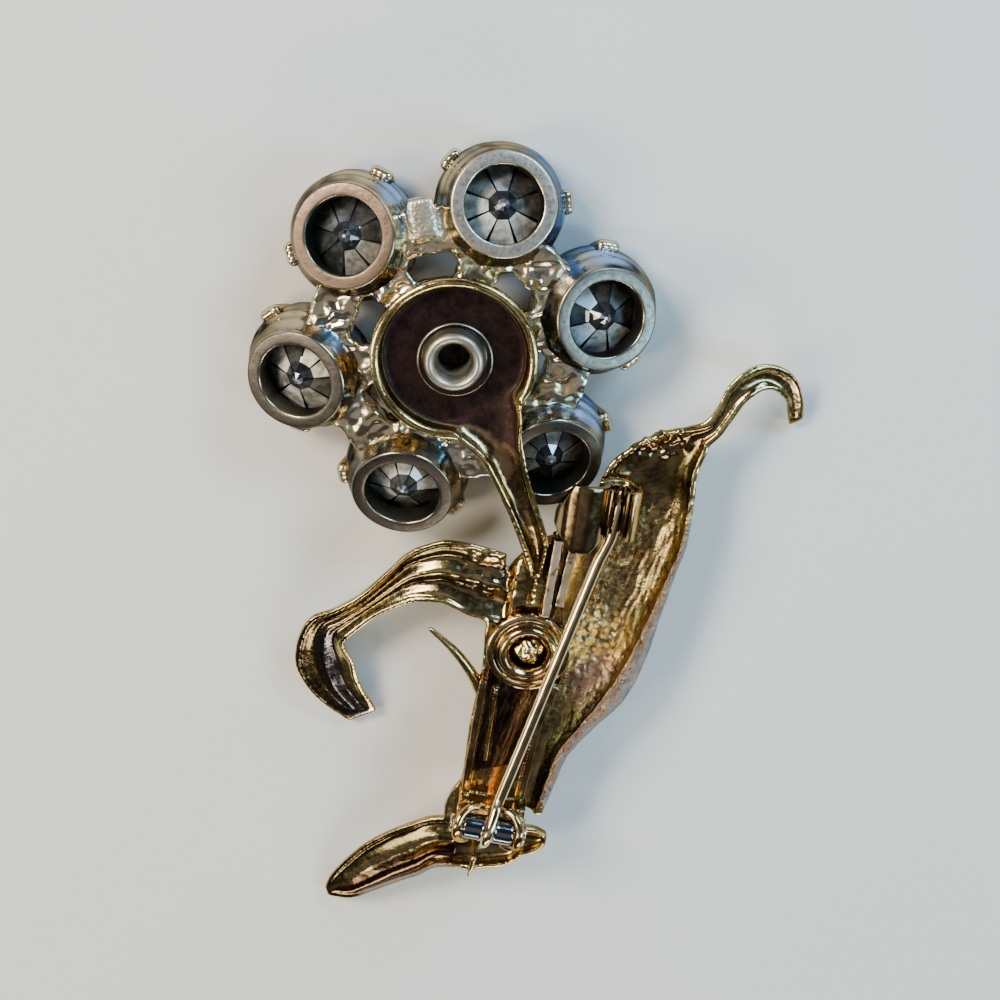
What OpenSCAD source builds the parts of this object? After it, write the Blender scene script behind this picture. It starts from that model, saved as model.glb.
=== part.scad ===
// Flower brooch lying face down: its back, with the pin, looks up along +Z.
// All sizes are in millimetres and the table is at z = 0.

/* [Flower head] */
// Middle of the flower head, from left to right
flower_x = -3.8; // [-4.4:0.1:-3.4]
// Middle of the flower head, along the brooch
flower_y = 12.1; // [11.8:0.1:12.6]
// How far each petal's back leans outward, in degrees
cup_angle = 18; // [14:1:20]
// Radius of a cup at its widest, round the stone's edge
cup_r = 4.85; // [4.75:0.01:4.95]
// Radius of the flat ring at the back of a cup
ring_r = 3.9; // [3.7:0.05:4.1]
// Radius of the hole in that ring
ring_hole_r = 2.87; // [2.6:0.01:3]
// From the stone's edge to the flat ring
cup_depth = 3.4; // [3.2:0.05:3.7]
// From the stone's edge to the cup's front lip
cup_lip = 1; // [0.8:0.05:1.1]

/* [Stones] */
// Radius of a stone at its edge
stone_r = 4.25; // [4.1:0.01:4.28]
// Radius of a stone's flat table
table_r = 2.5; // [2:0.1:2.9]
// Height of the crown, from the edge to the table
crown_h = 1.2; // [0.9:0.05:1.3]
// Depth of the pointed back, from the edge to the point
back_h = 3; // [2.8:0.05:3.1]

/* [Hub and rivet] */
// Middle of the hub, from left to right
hub_x = -3.4; // [-3.8:0.1:-3.2]
// Middle of the hub, along the brooch
hub_y = 11.9; // [11.6:0.1:12.3]
// Radius of the hub dish
hub_r = 6.25; // [6:0.05:6.4]
// Height of the hub's rim above the table
hub_top = 7.6; // [7.4:0.1:7.8]
// Radius of the rivet's flange
flange_r = 2.85; // [2.7:0.05:3]
// Radius of the rivet's rolled lip
lip_r = 2.25; // [2:0.05:2.35]
// Radius of the hole in the rivet
rivet_hole_r = 1.42; // [1.2:0.01:1.5]

/* [Pin back] */
// Height of the casting's back under the bar
body_top = 5.8; // [5.7:0.1:5.9]
// Thickness of the bar's plate
bar_t = 0.6; // [0.5:0.05:0.7]
// Height of the pin wire above the table
pin_z = 8.6; // [8.5:0.05:8.8]
// Radius of the pin wire
pin_r = 0.47; // [0.4:0.01:0.5]
// Radius of the hinge rivet
hinge_r = 0.5; // [0.4:0.05:0.55]
// Radius of the pin's barrel round the rivet
barrel_r = 1.05; // [0.95:0.05:1.15]
// Radius inside the catch's sleeve
sleeve_r = 0.7; // [0.65:0.01:0.72]
// Outer radius of the catch's housing
catch_r = 1.7; // [1.65:0.05:1.8]

/* [Hidden] */
$fn = 48;

// Middle of the whole brooch in the drawing's own frame, which goes to x = 0, y = 0
mid_x = 2.28;
mid_y = -5.87;

silver = "silver";
gold = "goldenrod";
glass = "slategray";

// Direction in degrees and reach of each petal: they are set by hand, so they vary a little
petals = [[131.3, 10.55], [69.6, 10.75], [11.5, 10.95], [-49.3, 10.9], [-108, 11.05], [-168.3, 10.8]];
girdle_z = (cup_r - 0.3) * sin(cup_angle) + cup_lip * cos(cup_angle);
cup_sides = 32;
stone_gap = 0.14;
stone_edge_h = 0.12;
crossed_petal = 3;
stem_gap = 0.12;
prong_turns = [-130, -66, 66, 130];

plate_gap = 0.1;
hub_floor_top = hub_top - 1.3;
hub_floor = 0.7;
plate_top = hub_floor_top - hub_floor - plate_gap;
plate_t = 0.9;
shank_r = 1.85;
fit_gap = 0.05;

// Casting: wall of the hollow forms and the number of steps across a form
wall = 0.9;
rim = 0.65;
steps = 8;
cut_start = 0.3;
cut_lift = 3;

// A hollow starts this share of a step before its form, and its other sections stand a smaller
// share past the form's, so that no two share a plane
hollow_start = 0.3;
hollow_shift = 0.06;

bar_z = body_top + fit_gap;
bar_top = bar_z + bar_t;
boss = [2.2, -12.4];
boss_r = 3.3;
peg_r = 1.4;
peg_h = 1.9;
peg_root = 1;

// Joint: the rivet's middle, the turn of the joint about the vertical, the cheeks and the wall
// behind the barrel, and the gaps beside the barrel, in the barrel and round the rivet
hinge = [-1, -27.3, pin_z];
hinge_turn = -12;
cheek_in = 2.2;
cheek_t = 0.55;
cheek_h = 2.2;
wall_from = 1.35;
wall_to = 1.85;
barrel_gap = 0.15;
pin_gap = 0.05;
rivet_gap = 0.02;

// Catch: the middle of its tube, the turn of the tube about the vertical, the angles between
// which the housing runs round, the sleeve's slot and the tab
catch = [8.85, 0.4, pin_z];
catch_turn = -7;
catch_len = 4;
catch_gap = 0.08;
catch_wall = 0.5;
housing_from = -160;
housing_to = 50;
foot_w = 1.8;
foot_sink = 0.3;
slot_left = 0.64;
slot_right = 0.54;
tab_bend = 2;
tab_t = 0.45;
tab_mid = [-2.65, -0.3];
tab_from = -4;
tab_len = 7;
tab_low = -1;
tab_high = 4;

// The pin's bend beside the catch, the points where it enters the catch and ends, the radius
// of its point, and the tail behind the barrel
pin_bend = [7.5, -3.7, pin_z];
pin_entry = [8.46, -1.72, pin_z];
pin_end = [8.9, 0.8, pin_z];
pin_point = [9.05, 2, pin_z];
point_r = 0.12;
tail_len = 1.9;
tail_r = 0.15;
bend_extra = 0.02;
// The wire is a little thicker where it leaves the barrel, and tapers over this length
root_extra = 0.06;
root_len = 2.6;

// Rows of the casting's forms, each walked with its left edge on the left hand:
// left edge x, y, z, then right edge x, y, z, then the depth of the belly below them
stem_rows = [
    [2, -8.2, 5.7, 2.9, -8.2, 5.7, 2],
    [2.3, -6.4, 5.9, 3.4, -5.9, 5.9, 1.9],
    [1.9, -4.5, 6.4, 3.8, -3.6, 6.5, 1.7],
    [1.3, -2.5, 6.9, 3.4, -1.5, 6.95, 1.5],
    [0.6, -0.5, 7.3, 3, 0.8, 7.35, 1.4],
    [-0.4, 1.9, 7.6, 2.6, 3.4, 7.7, 1.3],
    [-1.4, 3.9, 7.7, 2.2, 5.8, 7.75, 1.25],
    [-2.4, 4.9, 7.62, 1.8, 7.8, 7.65, 1.3],
    [-3.9, 6.1, 7.46, 1.4, 9.4, 7.44, 1.4]];

trunk_rows = [
    [-4.6, -29.8, 4.8, 1.8, -30.4, 5.2, 2.2],
    [-4.6, -27.3, 5.2, 2.2, -28, 5.8, 2.6],
    [-4, -25.7, 5.5, 2.2, -26.6, 5.8, 2.6],
    [-3.1, -24, 5.8, 2.2, -25, 5.8, 2.6],
    [-2.6, -20, 5.8, 3, -21, 5.8, 2.8],
    [-2, -17, 5.8, 4.1, -18, 5.8, 3],
    [-1.4, -14, 5.8, 5.4, -14.6, 5.8, 3.2],
    [-1.2, -11, 5.8, 6, -11.6, 5.8, 3.2],
    [-0.4, -8, 5.8, 6.2, -8.2, 5.8, 3],
    [0.8, -5.4, 5.8, 6.6, -5.4, 5.8, 2.6],
    [2.6, -3.6, 5.8, 7.6, -3, 5.8, 2]];

big_leaf_rows = [
    [0, -26.9, 5.6, 3.4, -28, 5.6, 1.8],
    [0.8, -24.4, 5.7, 4.4, -25.4, 5.5, 2.2],
    [1.6, -21.6, 5.7, 5.5, -22.6, 5.4, 2.5],
    [2.4, -18.8, 5.7, 7.4, -20.3, 5.3, 2.8],
    [3.3, -16, 5.7, 10.2, -17.2, 5.3, 3.1],
    [4.2, -13.2, 5.7, 11.8, -13.4, 5.3, 3.3],
    [5.1, -10.2, 5.7, 12.7, -10.1, 5.3, 3.4],
    [6, -7.2, 5.8, 13.7, -6.8, 5.2, 3.3],
    [7, -3.9, 5.8, 14.6, -3.9, 5.1, 3.1],
    [7.6, -0.6, 5.8, 15, -1.1, 5, 2.8],
    [8.1, 2.4, 5.3, 15.2, 1.4, 4.9, 2.4],
    [9.6, 3.8, 4.9, 15.5, 2.5, 4.8, 2.1],
    [11.5, 4.9, 4.7, 15.9, 3.5, 4.8, 1.8],
    [14.1, 5.6, 4.7, 16.1, 4.1, 4.7, 1.4],
    [15.6, 6.1, 4.7, 16.8, 4.7, 4.6, 1.2],
    [16.5, 7.3, 4.7, 17.7, 6, 4.5, 1.2],
    [17.1, 8.7, 4.7, 18.5, 7.2, 4.4, 1.2],
    [18.2, 9.9, 4.6, 19.4, 8, 4.2, 1.2],
    [19.6, 10.5, 4.3, 20.3, 8.3, 3.8, 1.2],
    [21.1, 10.3, 3.8, 21.2, 7.9, 3.2, 1.1],
    [22.6, 9.1, 3, 22, 6.9, 2.4, 1],
    [23.5, 6.9, 2, 22.3, 5.7, 1.6, 0.9],
    [23.7, 5, 0.95, 22.6, 4.4, 0.85, 0.85]];

left_leaf_rows = [
    [-0.2, -10.6, 5.6, 0.6, -4.5, 5.72, 2],
    [-2.3, -10, 5.5, -1.7, -3.7, 5.7, 1.9],
    [-4.3, -9, 5.3, -4, -3.4, 5.5, 1.8],
    [-5.7, -8.9, 5.1, -5.6, -3.8, 5.3, 1.7],
    [-7, -9.1, 4.8, -7.3, -4.7, 5, 1.7],
    [-8.5, -9.8, 4.5, -9, -6.5, 4.6, 1.6],
    [-10, -10.8, 4.1, -11.2, -8.7, 4.1, 1.5],
    [-11.8, -12.4, 3.8, -13.5, -10.2, 3.6, 1.4],
    [-12.5, -13.3, 3.5, -15.1, -11, 3.2, 1.4],
    [-12.3, -14.2, 3.2, -16.2, -12.7, 2.8, 1.4],
    [-11.8, -15.3, 2.8, -16.7, -15.1, 2.4, 1.4],
    [-11.6, -16.7, 2.4, -16.4, -16.9, 2, 1.3],
    [-11.2, -18.2, 1.9, -15.6, -18.6, 1.6, 1.2],
    [-10.6, -19.5, 1.5, -14.4, -20.1, 1.2, 1.1],
    [-10.2, -20.6, 1.1, -12.6, -21.7, 0.9, 1]];

bottom_leaf_rows = [
    [-2.05, -33.58, 4.8, -2.35, -28.62, 5.42, 2.2],
    [-5.2, -33.7, 4.4, -5.5, -28.6, 4.8, 2],
    [-6.9, -34.9, 3.8, -7.6, -29.6, 4.2, 1.8],
    [-8.8, -36, 3.2, -9.5, -30.8, 3.5, 1.6],
    [-10.8, -37.3, 2.5, -11.6, -32.5, 2.8, 1.4],
    [-12.7, -38.4, 1.9, -13.4, -34.6, 2.1, 1.2],
    [-14.1, -38.6, 1.4, -14.6, -36.4, 1.5, 1.1],
    [-14.9, -38.7, 1, -15.1, -37.8, 1.05, 1.02]];

tail_cup_rows = [
    [-2.8, -29.4, 5.2, -3, -33.6, 4.8, 2.2],
    [0.04, -29.3, 5.42, 0.3, -33.4, 4.8, 2.2],
    [1.7, -29.3, 5.2, 1.8, -32.5, 4.8, 2],
    [3, -29.6, 5, 3.1, -32, 4.7, 1.6],
    [3.9, -30.3, 4.8, 3.8, -31.3, 4.7, 1.2]];

// Midrib of the left leaf: its first and last row, its radius and how far it sinks in the floor
rib_first = 0;
rib_last = 7;
rib_r = 0.4;
rib_sink = 0.15;

// Tendril: x, y, z and radius of each joint of the wire, from the body to its point
tendril_rows = [
    [-1, -18.1, 5.1, 0.55],
    [-1.6, -16.4, 5.3, 0.5],
    [-2.3, -14.8, 5.5, 0.45],
    [-3.2, -13.3, 5.7, 0.38],
    [-4.3, -11.9, 5.9, 0.3],
    [-5.5, -10.7, 6, 0.2]];

// Small thorn below the joint, in the same way
thorn_rows = [
    [-2.2, -32.4, 4.9, 0.3],
    [-2.4, -33.3, 4.9, 0.22],
    [-2.7, -34.2, 4.8, 0.12]];

// Outline of the bar's plate, and its raised edges: from x, y to x, y, then width and top
bar_outline = [[-3.3, -25.9], [1.6, -26.8], [2, -24.5], [2.6, -21], [3.8, -17.5], [4.8, -15],
    [4.9, -9.6], [4.9, -7.6], [6.1, -3.2], [5.7, -2.4], [4.1, -2.4], [3.1, -9.2], [0, -9.8],
    [-1, -14.4], [-1.7, -17], [-2.4, -21], [-3, -24.5]];
bar_edges = [
    [-1.3, -14.8, -1.8, -18, 0.6, 7],
    [-1.8, -17.9, -2.9, -25.2, 0.6, 7],
    [-0.3, -15.6, -1.2, -22.1, 0.35, 6.8],
    [4.4, -15.4, 3.1, -18.6, 0.6, 6.9],
    [3.1, -18.5, 1.6, -25.6, 0.6, 6.9],
    [3.5, -9.2, 4.5, -2.7, 0.7, 7.2],
    [4.6, -8.2, 5.7, -3, 0.7, 7.3]];
catch_plate = [[4.2, -3.2], [6, -3.4], [9.8, -1.9], [10, 2], [7.8, 2.2], [6.8, -0.8], [4.4, -2.2]];
tab_outline = [[-4.9, -1.2], [-3.6, 2.2], [0, 2.2], [0, -2], [-1, -2.3], [-1.9, -3.2], [-3.2, -3.2]];

function left_of(row) = [row[0], row[1], row[2]];
function right_of(row) = [row[3], row[4], row[5]];

// Section of a form: an arc from the right edge through the belly to the left edge
function section(row) =
    let (mid = (left_of(row) + right_of(row)) / 2,
         half = (right_of(row) - left_of(row)) / 2)
    [for (i = [0:steps]) mid + half * cos(180 * i / steps) - [0, 0, row[6] * sin(180 * i / steps)]];

// Section of its hollow: the arc lies inside the form's by the rim and the wall, its ends stand
// above the form's edges, and a roof joins them
function hollow_section(row) =
    let (mid = (left_of(row) + right_of(row)) / 2,
         half = (right_of(row) - left_of(row)) / 2,
         side = half * max(norm(half) - rim, 0.12) / norm(half),
         deep = max(row[6] - wall, 0.12),
         up = [0, 0, cut_lift])
    concat(
        [for (i = [0:steps])
            mid + side * cos(180 * i / steps)
                + [0, 0, i % steps == 0 ? cut_start : -deep * sin(180 * i / steps)]],
        [mid - side + up, mid + side + up]);

// Skin through rings of equally many points; the diagonals alternate, as a cut stone needs
module loft(rings) {
    n = len(rings[0]);
    last = len(rings) - 1;
    polyhedron(
        points = [for (ring = rings) each ring],
        faces = concat(
            [[for (j = [0:n - 1]) j]],
            [[for (j = [n - 1:-1:0]) last * n + j]],
            [for (i = [0:last - 1]) for (j = [0:n - 1])
                let (a = i * n + j, b = i * n + (j + 1) % n, c = a + n, d = b + n)
                each j % 2 == 0 ? [[a, d, b], [a, c, d]] : [[a, c, b], [b, c, d]]]));
}

module form(rows) {
    loft([for (row = rows) section(row)]);
}

// Rows of a hollow: it starts a little before its form, and ends where end says, as a share of
// the last step, past the form's end if positive and short of it if negative
function hollow_rows(rows, end) =
    let (last = len(rows) - 1)
    [for (i = [0:last])
        i == 0 ? rows[0] + (rows[0] - rows[1]) * hollow_start :
        i == last ? rows[last] + (rows[last] - rows[last - 1]) * end :
        rows[i] + (rows[i + 1] - rows[i]) * hollow_shift];

module hollow(rows, end = -0.4) {
    loft([for (row = hollow_rows(rows, end)) hollow_section(row)]);
}

module placed() {
    translate([-mid_x, -mid_y, 0]) children();
}

module at_petal(i) {
    translate([flower_x, flower_y, girdle_z])
        rotate([0, 0, petals[i][0]])
            translate([petals[i][1], 0, 0])
                rotate([0, cup_angle, 0])
                    children();
}

// Section of a cup: front lip, widest part round the stone's edge, flat ring at the back
module cup_body() {
    rotate_extrude($fn = cup_sides)
        polygon([[0, -cup_lip], [cup_r - 0.3, -cup_lip], [cup_r, -0.5], [cup_r, 0.5],
            [cup_r - 0.25, 1.2], [ring_r + 0.25, 2.3], [ring_r, cup_depth - 0.2],
            [ring_r - 0.15, cup_depth], [0, cup_depth]]);
}

// Room that the stem leaves over the cup which it crosses
module cup_room() {
    rotate_extrude($fn = cup_sides)
        polygon([[0, 0], [cup_r + stem_gap, 0], [cup_r + stem_gap, 0.6], [ring_r + 0.3 + stem_gap, 2.4],
            [ring_r + stem_gap, cup_depth + stem_gap], [0, cup_depth + stem_gap]]);
}

// Room inside a cup: the stone from the front, a seat behind its edge, then the ring's hole
module cup_hollow() {
    seat_z = stone_gap + stone_edge_h;
    rotate_extrude($fn = cup_sides)
        polygon([[0, -cup_lip - 1], [stone_r + stone_gap, -cup_lip - 1],
            [stone_r + stone_gap, seat_z], [ring_hole_r + 0.13, seat_z + 1.15],
            [ring_hole_r, seat_z + 1.35], [ring_hole_r, cup_depth + 1], [0, cup_depth + 1]]);
}

// Nub over the cup's lip
module prong(turn) {
    rotate([0, 0, turn])
        hull() {
            translate([cup_r + 0.2, 0, 0.4]) sphere(r = 0.5, $fn = 8);
            translate([cup_r - 0.3, 0, -cup_lip - 0.35]) sphere(r = 0.38, $fn = 8);
        }
}

// Arm from the plate under the hub to one cup
module arm(turn) {
    translate([flower_x, flower_y, plate_top - plate_t])
        rotate([0, 0, turn])
            hull() {
                translate([4.9, 0, 0]) cylinder(r = 1.4, h = plate_t, $fn = 12);
                translate([7.4, 0, -0.6]) cylinder(r = 1.9, h = 1.3, $fn = 12);
            }
}

// Solder web between one cup and the next
module web(turn) {
    translate([flower_x, flower_y, girdle_z + 1.3])
        rotate([0, 0, turn])
            hull() {
                translate([8.5, -1.3, 0]) cylinder(r = 0.7, h = 1.5, $fn = 8);
                translate([8.5, 1.3, 0]) cylinder(r = 0.7, h = 1.5, $fn = 8);
                translate([10.1, -1.1, -0.4]) cylinder(r = 0.7, h = 1.3, $fn = 8);
                translate([10.1, 1.1, -0.4]) cylinder(r = 0.7, h = 1.3, $fn = 8);
            }
}

// Direction halfway between one petal and the next
function between(i) =
    let (here = petals[i][0],
         next = petals[(i + 1) % len(petals)][0],
         back = (here - next + 720) % 360)
    here - back / 2;

module flower_cups() {
    placed() color(silver)
        difference() {
            union() {
                translate([flower_x, flower_y, plate_top - plate_t]) cylinder(r = 5.2, h = plate_t);
                for (i = [0:len(petals) - 1]) {
                    at_petal(i) cup_body();
                    at_petal(i) for (turn = prong_turns) prong(turn);
                    arm(petals[i][0]);
                    web(between(i));
                }
            }
            for (i = [0:len(petals) - 1]) at_petal(i) cup_hollow();
            translate([hub_x, hub_y, 0]) cylinder(r = shank_r + plate_gap, h = hub_top);
        }
}

// Ring of a cut stone: sixteen points, of which every second one is a corner
function stone_ring(r, z, first) =
    [for (i = [0:15])
        let (reach = (i % 2 == first) ? r : r * cos(22.5))
        [reach * cos(22.5 * i), reach * sin(22.5 * i), z]];

function stone_edge(z) = [for (i = [0:15]) [stone_r * cos(22.5 * i), stone_r * sin(22.5 * i), z]];

// The rings of points run from the table in front over the edge to the point at the back
module stone(i) {
    edge = stone_edge_h;
    placed() color(glass)
        at_petal(i)
            hull() loft([
                stone_ring(table_r, -edge - crown_h, 0),
                stone_ring((table_r + stone_r) / 2, -edge - crown_h * 0.55, 1),
                stone_edge(-edge),
                stone_edge(edge),
                stone_ring(stone_r * 0.78, edge + back_h * 0.25, 0),
                stone_ring(stone_r * 0.25, edge + back_h * 0.82, 1),
                stone_ring(stone_r * 0.06, edge + back_h, 1)]);
}

// Section: domed head in front, shank, flange on the hub's floor and rounded lip
module tube_rivet() {
    low = plate_top - plate_t - plate_gap;
    placed() color(silver)
        translate([hub_x, hub_y, 0])
            rotate_extrude()
                polygon([[0, low - 2.2], [1.6, low - 1.9], [2.7, low - 1], [3.1, low],
                    [shank_r, low], [shank_r, hub_floor_top + plate_gap],
                    [flange_r, hub_floor_top + plate_gap], [flange_r, hub_floor_top + 0.35],
                    [flange_r - 0.15, hub_floor_top + 0.5], [lip_r, hub_floor_top + 0.55],
                    [lip_r, hub_top + 0.2], [lip_r - 0.1, hub_top + 0.45],
                    [lip_r - 0.35, hub_top + 0.6], [rivet_hole_r + 0.25, hub_top + 0.55],
                    [rivet_hole_r, hub_top + 0.3],
                    [rivet_hole_r, low], [0, low]]);
}

// Section: flat underside, round wall, rim, and the floor inside it
module hub_dish() {
    under = hub_floor_top - hub_floor;
    translate([hub_x, hub_y, 0])
        rotate_extrude()
            polygon([[0, under], [hub_r - 1.7, under], [hub_r - 0.6, under + 0.35],
                [hub_r, hub_top - 0.7], [hub_r, hub_top - 0.15], [hub_r - 0.2, hub_top],
                [hub_r - 0.65, hub_top], [hub_r - 0.85, hub_top - 0.2],
                [hub_r - 1, hub_floor_top + 0.2], [hub_r - 1.3, hub_floor_top], [0, hub_floor_top]]);
}

// Tapered wire through the joints given
module tendril(rows) {
    for (i = [0:len(rows) - 2])
        hull()
            for (row = [rows[i], rows[i + 1]])
                translate([row[0], row[1], row[2]]) sphere(r = row[3], $fn = 8);
}

// Raised midrib inside a leaf, from one point to the next, to the radius given
module rib(points, r) {
    for (i = [0:len(points) - 2])
        hull()
            for (p = [points[i], points[i + 1]])
                translate(p) sphere(r = r, $fn = 8);
}

module peg() {
    translate([boss[0], boss[1], body_top - peg_root]) cylinder(r = peg_r, h = peg_h, $fn = 24);
}

module spray() {
    placed() color(gold) {
        difference() {
            union() {
                hub_dish();
                form(stem_rows);
                form(trunk_rows);
                form(big_leaf_rows);
                form(left_leaf_rows);
                form(bottom_leaf_rows);
                form(tail_cup_rows);
            }
            hollow(stem_rows, 0.7);
            hollow(big_leaf_rows);
            hollow(left_leaf_rows);
            hollow(bottom_leaf_rows);
            hollow(tail_cup_rows);
            translate([hub_x, hub_y, 0]) cylinder(r = shank_r + plate_gap, h = hub_top);
            at_petal(crossed_petal) cup_room();
        }
        peg();
        tendril(tendril_rows);
        tendril(thorn_rows);
        rib([for (i = [rib_first:rib_last]) let (row = left_leaf_rows[i])
            (left_of(row) + right_of(row)) / 2 - [0, 0, row[6] - wall - rib_sink]], rib_r);
    }
}

// Straight bar between two points of the plan, from the plate up to the height given
module edge_bar(row) {
    run = [row[2] - row[0], row[3] - row[1]];
    translate([row[0], row[1], bar_z])
        rotate([0, 0, atan2(run[1], run[0])])
            translate([0, -row[4] / 2, 0])
                cube([norm(run), row[4], row[5] - bar_z]);
}

// Section: a rim, a shallow groove, then a raised ring round the peg
module boss() {
    translate([boss[0], boss[1], 0])
        rotate_extrude()
            polygon([[peg_r, bar_z], [boss_r - 0.1, bar_z], [boss_r, bar_z + 0.1],
                [boss_r, bar_top + 0.35], [boss_r - 0.2, bar_top + 0.45],
                [boss_r - 0.55, bar_top + 0.45], [boss_r - 0.75, bar_top + 0.15],
                [2.35, bar_top + 0.15], [2.25, bar_top + 0.65], [2.05, bar_top + 0.8],
                [1.8, bar_top + 0.8], [peg_r + 0.1, bar_top + 0.5], [peg_r, bar_top]]);
}

// Cheeks of the joint, joined by a low wall behind the barrel
module joint_cheeks() {
    out = cheek_in + cheek_t;
    cheek_r = barrel_r + 0.05;
    difference() {
        union() {
            translate([-out, -barrel_r, bar_z]) cube([2 * out, barrel_r + wall_to, bar_t]);
            translate([-out, -barrel_r, bar_z]) cube([cheek_t, barrel_r + wall_to, cheek_h]);
            translate([cheek_in, -barrel_r, bar_z]) cube([cheek_t, barrel_r + wall_to, cheek_h]);
            translate([-out, wall_from, bar_z]) cube([2 * out, wall_to - wall_from, cheek_h]);
            for (x = [-out, cheek_in])
                translate([x, 0, pin_z]) rotate([0, 90, 0]) cylinder(r = cheek_r, h = cheek_t);
        }
        translate([-out - 1, 0, pin_z]) rotate([0, 90, 0])
            cylinder(r = hinge_r + rivet_gap, h = 2 * out + 2);
    }
}

// Part of a tube, drawn along +Y, between two angles counted from +X towards +Z
module tube_part(inner, outer, from, to, start, length) {
    translate([0, start + length, 0])
        rotate([90, 0, 0])
            rotate([0, 0, from])
                rotate_extrude(angle = to - from)
                    translate([inner, 0]) square([outer - inner, length]);
}

module catch_housing() {
    translate(catch)
        rotate([0, 0, catch_turn]) {
            tube_part(catch_r - catch_wall, catch_r, housing_from, housing_to,
                -catch_len / 2, catch_len);
            translate([-foot_w / 2, -catch_len / 2, bar_z - pin_z])
                cube([foot_w, catch_len, pin_z - bar_z - catch_r + foot_sink]);
        }
}

module back_bar() {
    placed() color(gold) {
        difference() {
            union() {
                translate([0, 0, bar_z]) linear_extrude(bar_t) polygon(bar_outline);
                translate([0, 0, bar_z]) linear_extrude(bar_t) polygon(catch_plate);
                for (row = bar_edges) edge_bar(row);
                boss();
            }
            translate([boss[0], boss[1], 0]) cylinder(r = peg_r + fit_gap, h = pin_z);
        }
        translate([hinge[0], hinge[1], 0]) rotate([0, 0, hinge_turn]) joint_cheeks();
        catch_housing();
    }
}

module hinge_rivet() {
    out = cheek_in + cheek_t + rivet_gap;
    head_r = hinge_r + 0.25;
    head_h = 0.3;
    placed() color(gold)
        translate(hinge)
            rotate([0, 0, hinge_turn])
                rotate([0, 90, 0]) {
                    translate([0, 0, -out]) cylinder(r = hinge_r, h = 2 * out);
                    translate([0, 0, -out - head_h]) cylinder(r = head_r, h = head_h);
                    translate([0, 0, out]) cylinder(r = head_r, h = head_h);
                }
}

// Round wire between two points of the pin's height, from one radius to another
module wire(from, to, r1, r2) {
    run = to - from;
    translate(from)
        rotate([0, 0, atan2(run[1], run[0])])
            rotate([0, 90, 0])
                cylinder(r1 = r1, r2 = r2, h = norm(run));
}

module pin_stem() {
    half = cheek_in - barrel_gap;
    shaft_turn = atan2(pin_bend[1] - hinge[1], pin_bend[0] - hinge[0]);
    along = [cos(shaft_turn), sin(shaft_turn), 0];
    tail = hinge - tail_len * along;
    root = hinge + root_len * along;
    path = [hinge, pin_bend, pin_entry, pin_end];
    placed() color(gold)
        difference() {
            union() {
                translate(hinge) rotate([0, 0, hinge_turn]) rotate([0, 90, 0])
                    translate([0, 0, -half]) cylinder(r = barrel_r, h = 2 * half);
                for (i = [1:len(path) - 1]) {
                    wire(path[i - 1], path[i], pin_r, pin_r);
                    translate(path[i]) sphere(r = pin_r + bend_extra);
                }
                wire(pin_end, pin_point, pin_r, point_r);
                wire(hinge, tail, pin_r, tail_r);
                wire(hinge, root, pin_r + root_extra, pin_r);
            }
            translate(hinge) rotate([0, 0, hinge_turn]) rotate([0, 90, 0])
                translate([0, 0, -half - 1]) cylinder(r = hinge_r + pin_gap, h = 2 * half + 2);
        }
}

module catch_lever() {
    sleeve_out = catch_r - catch_wall - catch_gap;
    sleeve_len = catch_len - 0.3;
    placed() color(gold)
        translate(catch)
            rotate([0, 0, catch_turn]) {
                difference() {
                    tube_part(sleeve_r, sleeve_out, 0, 360, -sleeve_len / 2, sleeve_len);
                    translate([-slot_left, -sleeve_len, 0])
                        cube([slot_left + slot_right, 2 * sleeve_len, catch_r]);
                }
                intersection() {
                    translate([tab_mid[0], 0, tab_mid[1]])
                        tube_part(tab_bend - tab_t, tab_bend, 0, 180, tab_from, tab_len);
                    translate([0, 0, tab_low])
                        linear_extrude(tab_high - tab_low) polygon(tab_outline);
                }
            }
}

flower_cups();
stone(0);  // stone_1
stone(1);  // stone_2
stone(2);  // stone_3
stone(3);  // stone_4
stone(4);  // stone_5
stone(5);  // stone_6
tube_rivet();
spray();
back_bar();
hinge_rivet();
pin_stem();
catch_lever();
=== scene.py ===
import math

import bmesh
import bpy
import numpy as np
from mathutils import Matrix, Vector, noise


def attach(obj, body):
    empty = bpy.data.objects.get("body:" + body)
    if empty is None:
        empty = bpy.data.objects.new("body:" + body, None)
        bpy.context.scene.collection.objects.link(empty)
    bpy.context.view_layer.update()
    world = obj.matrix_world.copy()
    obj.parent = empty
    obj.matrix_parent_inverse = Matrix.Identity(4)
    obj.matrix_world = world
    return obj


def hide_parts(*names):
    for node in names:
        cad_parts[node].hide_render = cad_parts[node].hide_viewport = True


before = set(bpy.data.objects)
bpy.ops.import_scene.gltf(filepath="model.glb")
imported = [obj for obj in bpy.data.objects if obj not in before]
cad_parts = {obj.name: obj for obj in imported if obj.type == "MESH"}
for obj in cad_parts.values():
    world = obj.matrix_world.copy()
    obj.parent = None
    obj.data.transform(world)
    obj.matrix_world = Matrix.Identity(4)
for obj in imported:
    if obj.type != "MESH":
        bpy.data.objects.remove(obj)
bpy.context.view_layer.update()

# The flower brooch lies face down. Shapes are worked out in millimetres, in the drawing's frame,
# and go to metres and to the middle of the brooch at the end.
MM = 0.001
MID = np.array([2.28, -5.87, 0.0])

# The flower: direction in degrees and reach of each petal, and the measures of a cup
FLOWER = np.array([-3.8, 12.1])
PETALS = [(131.3, 10.55), (69.6, 10.75), (11.5, 10.95), (-49.3, 10.9), (-108.0, 11.05), (-168.3, 10.8)]
CROSSED_PETAL = 3
CUP_LEAN = math.radians(18)
CUP_R, CUP_LIP, CUP_DEPTH = 4.85, 1.0, 3.4
RING_R = 3.9
GIRDLE_Z = (CUP_R - 0.3) * math.sin(CUP_LEAN) + CUP_LIP * math.cos(CUP_LEAN)

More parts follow.
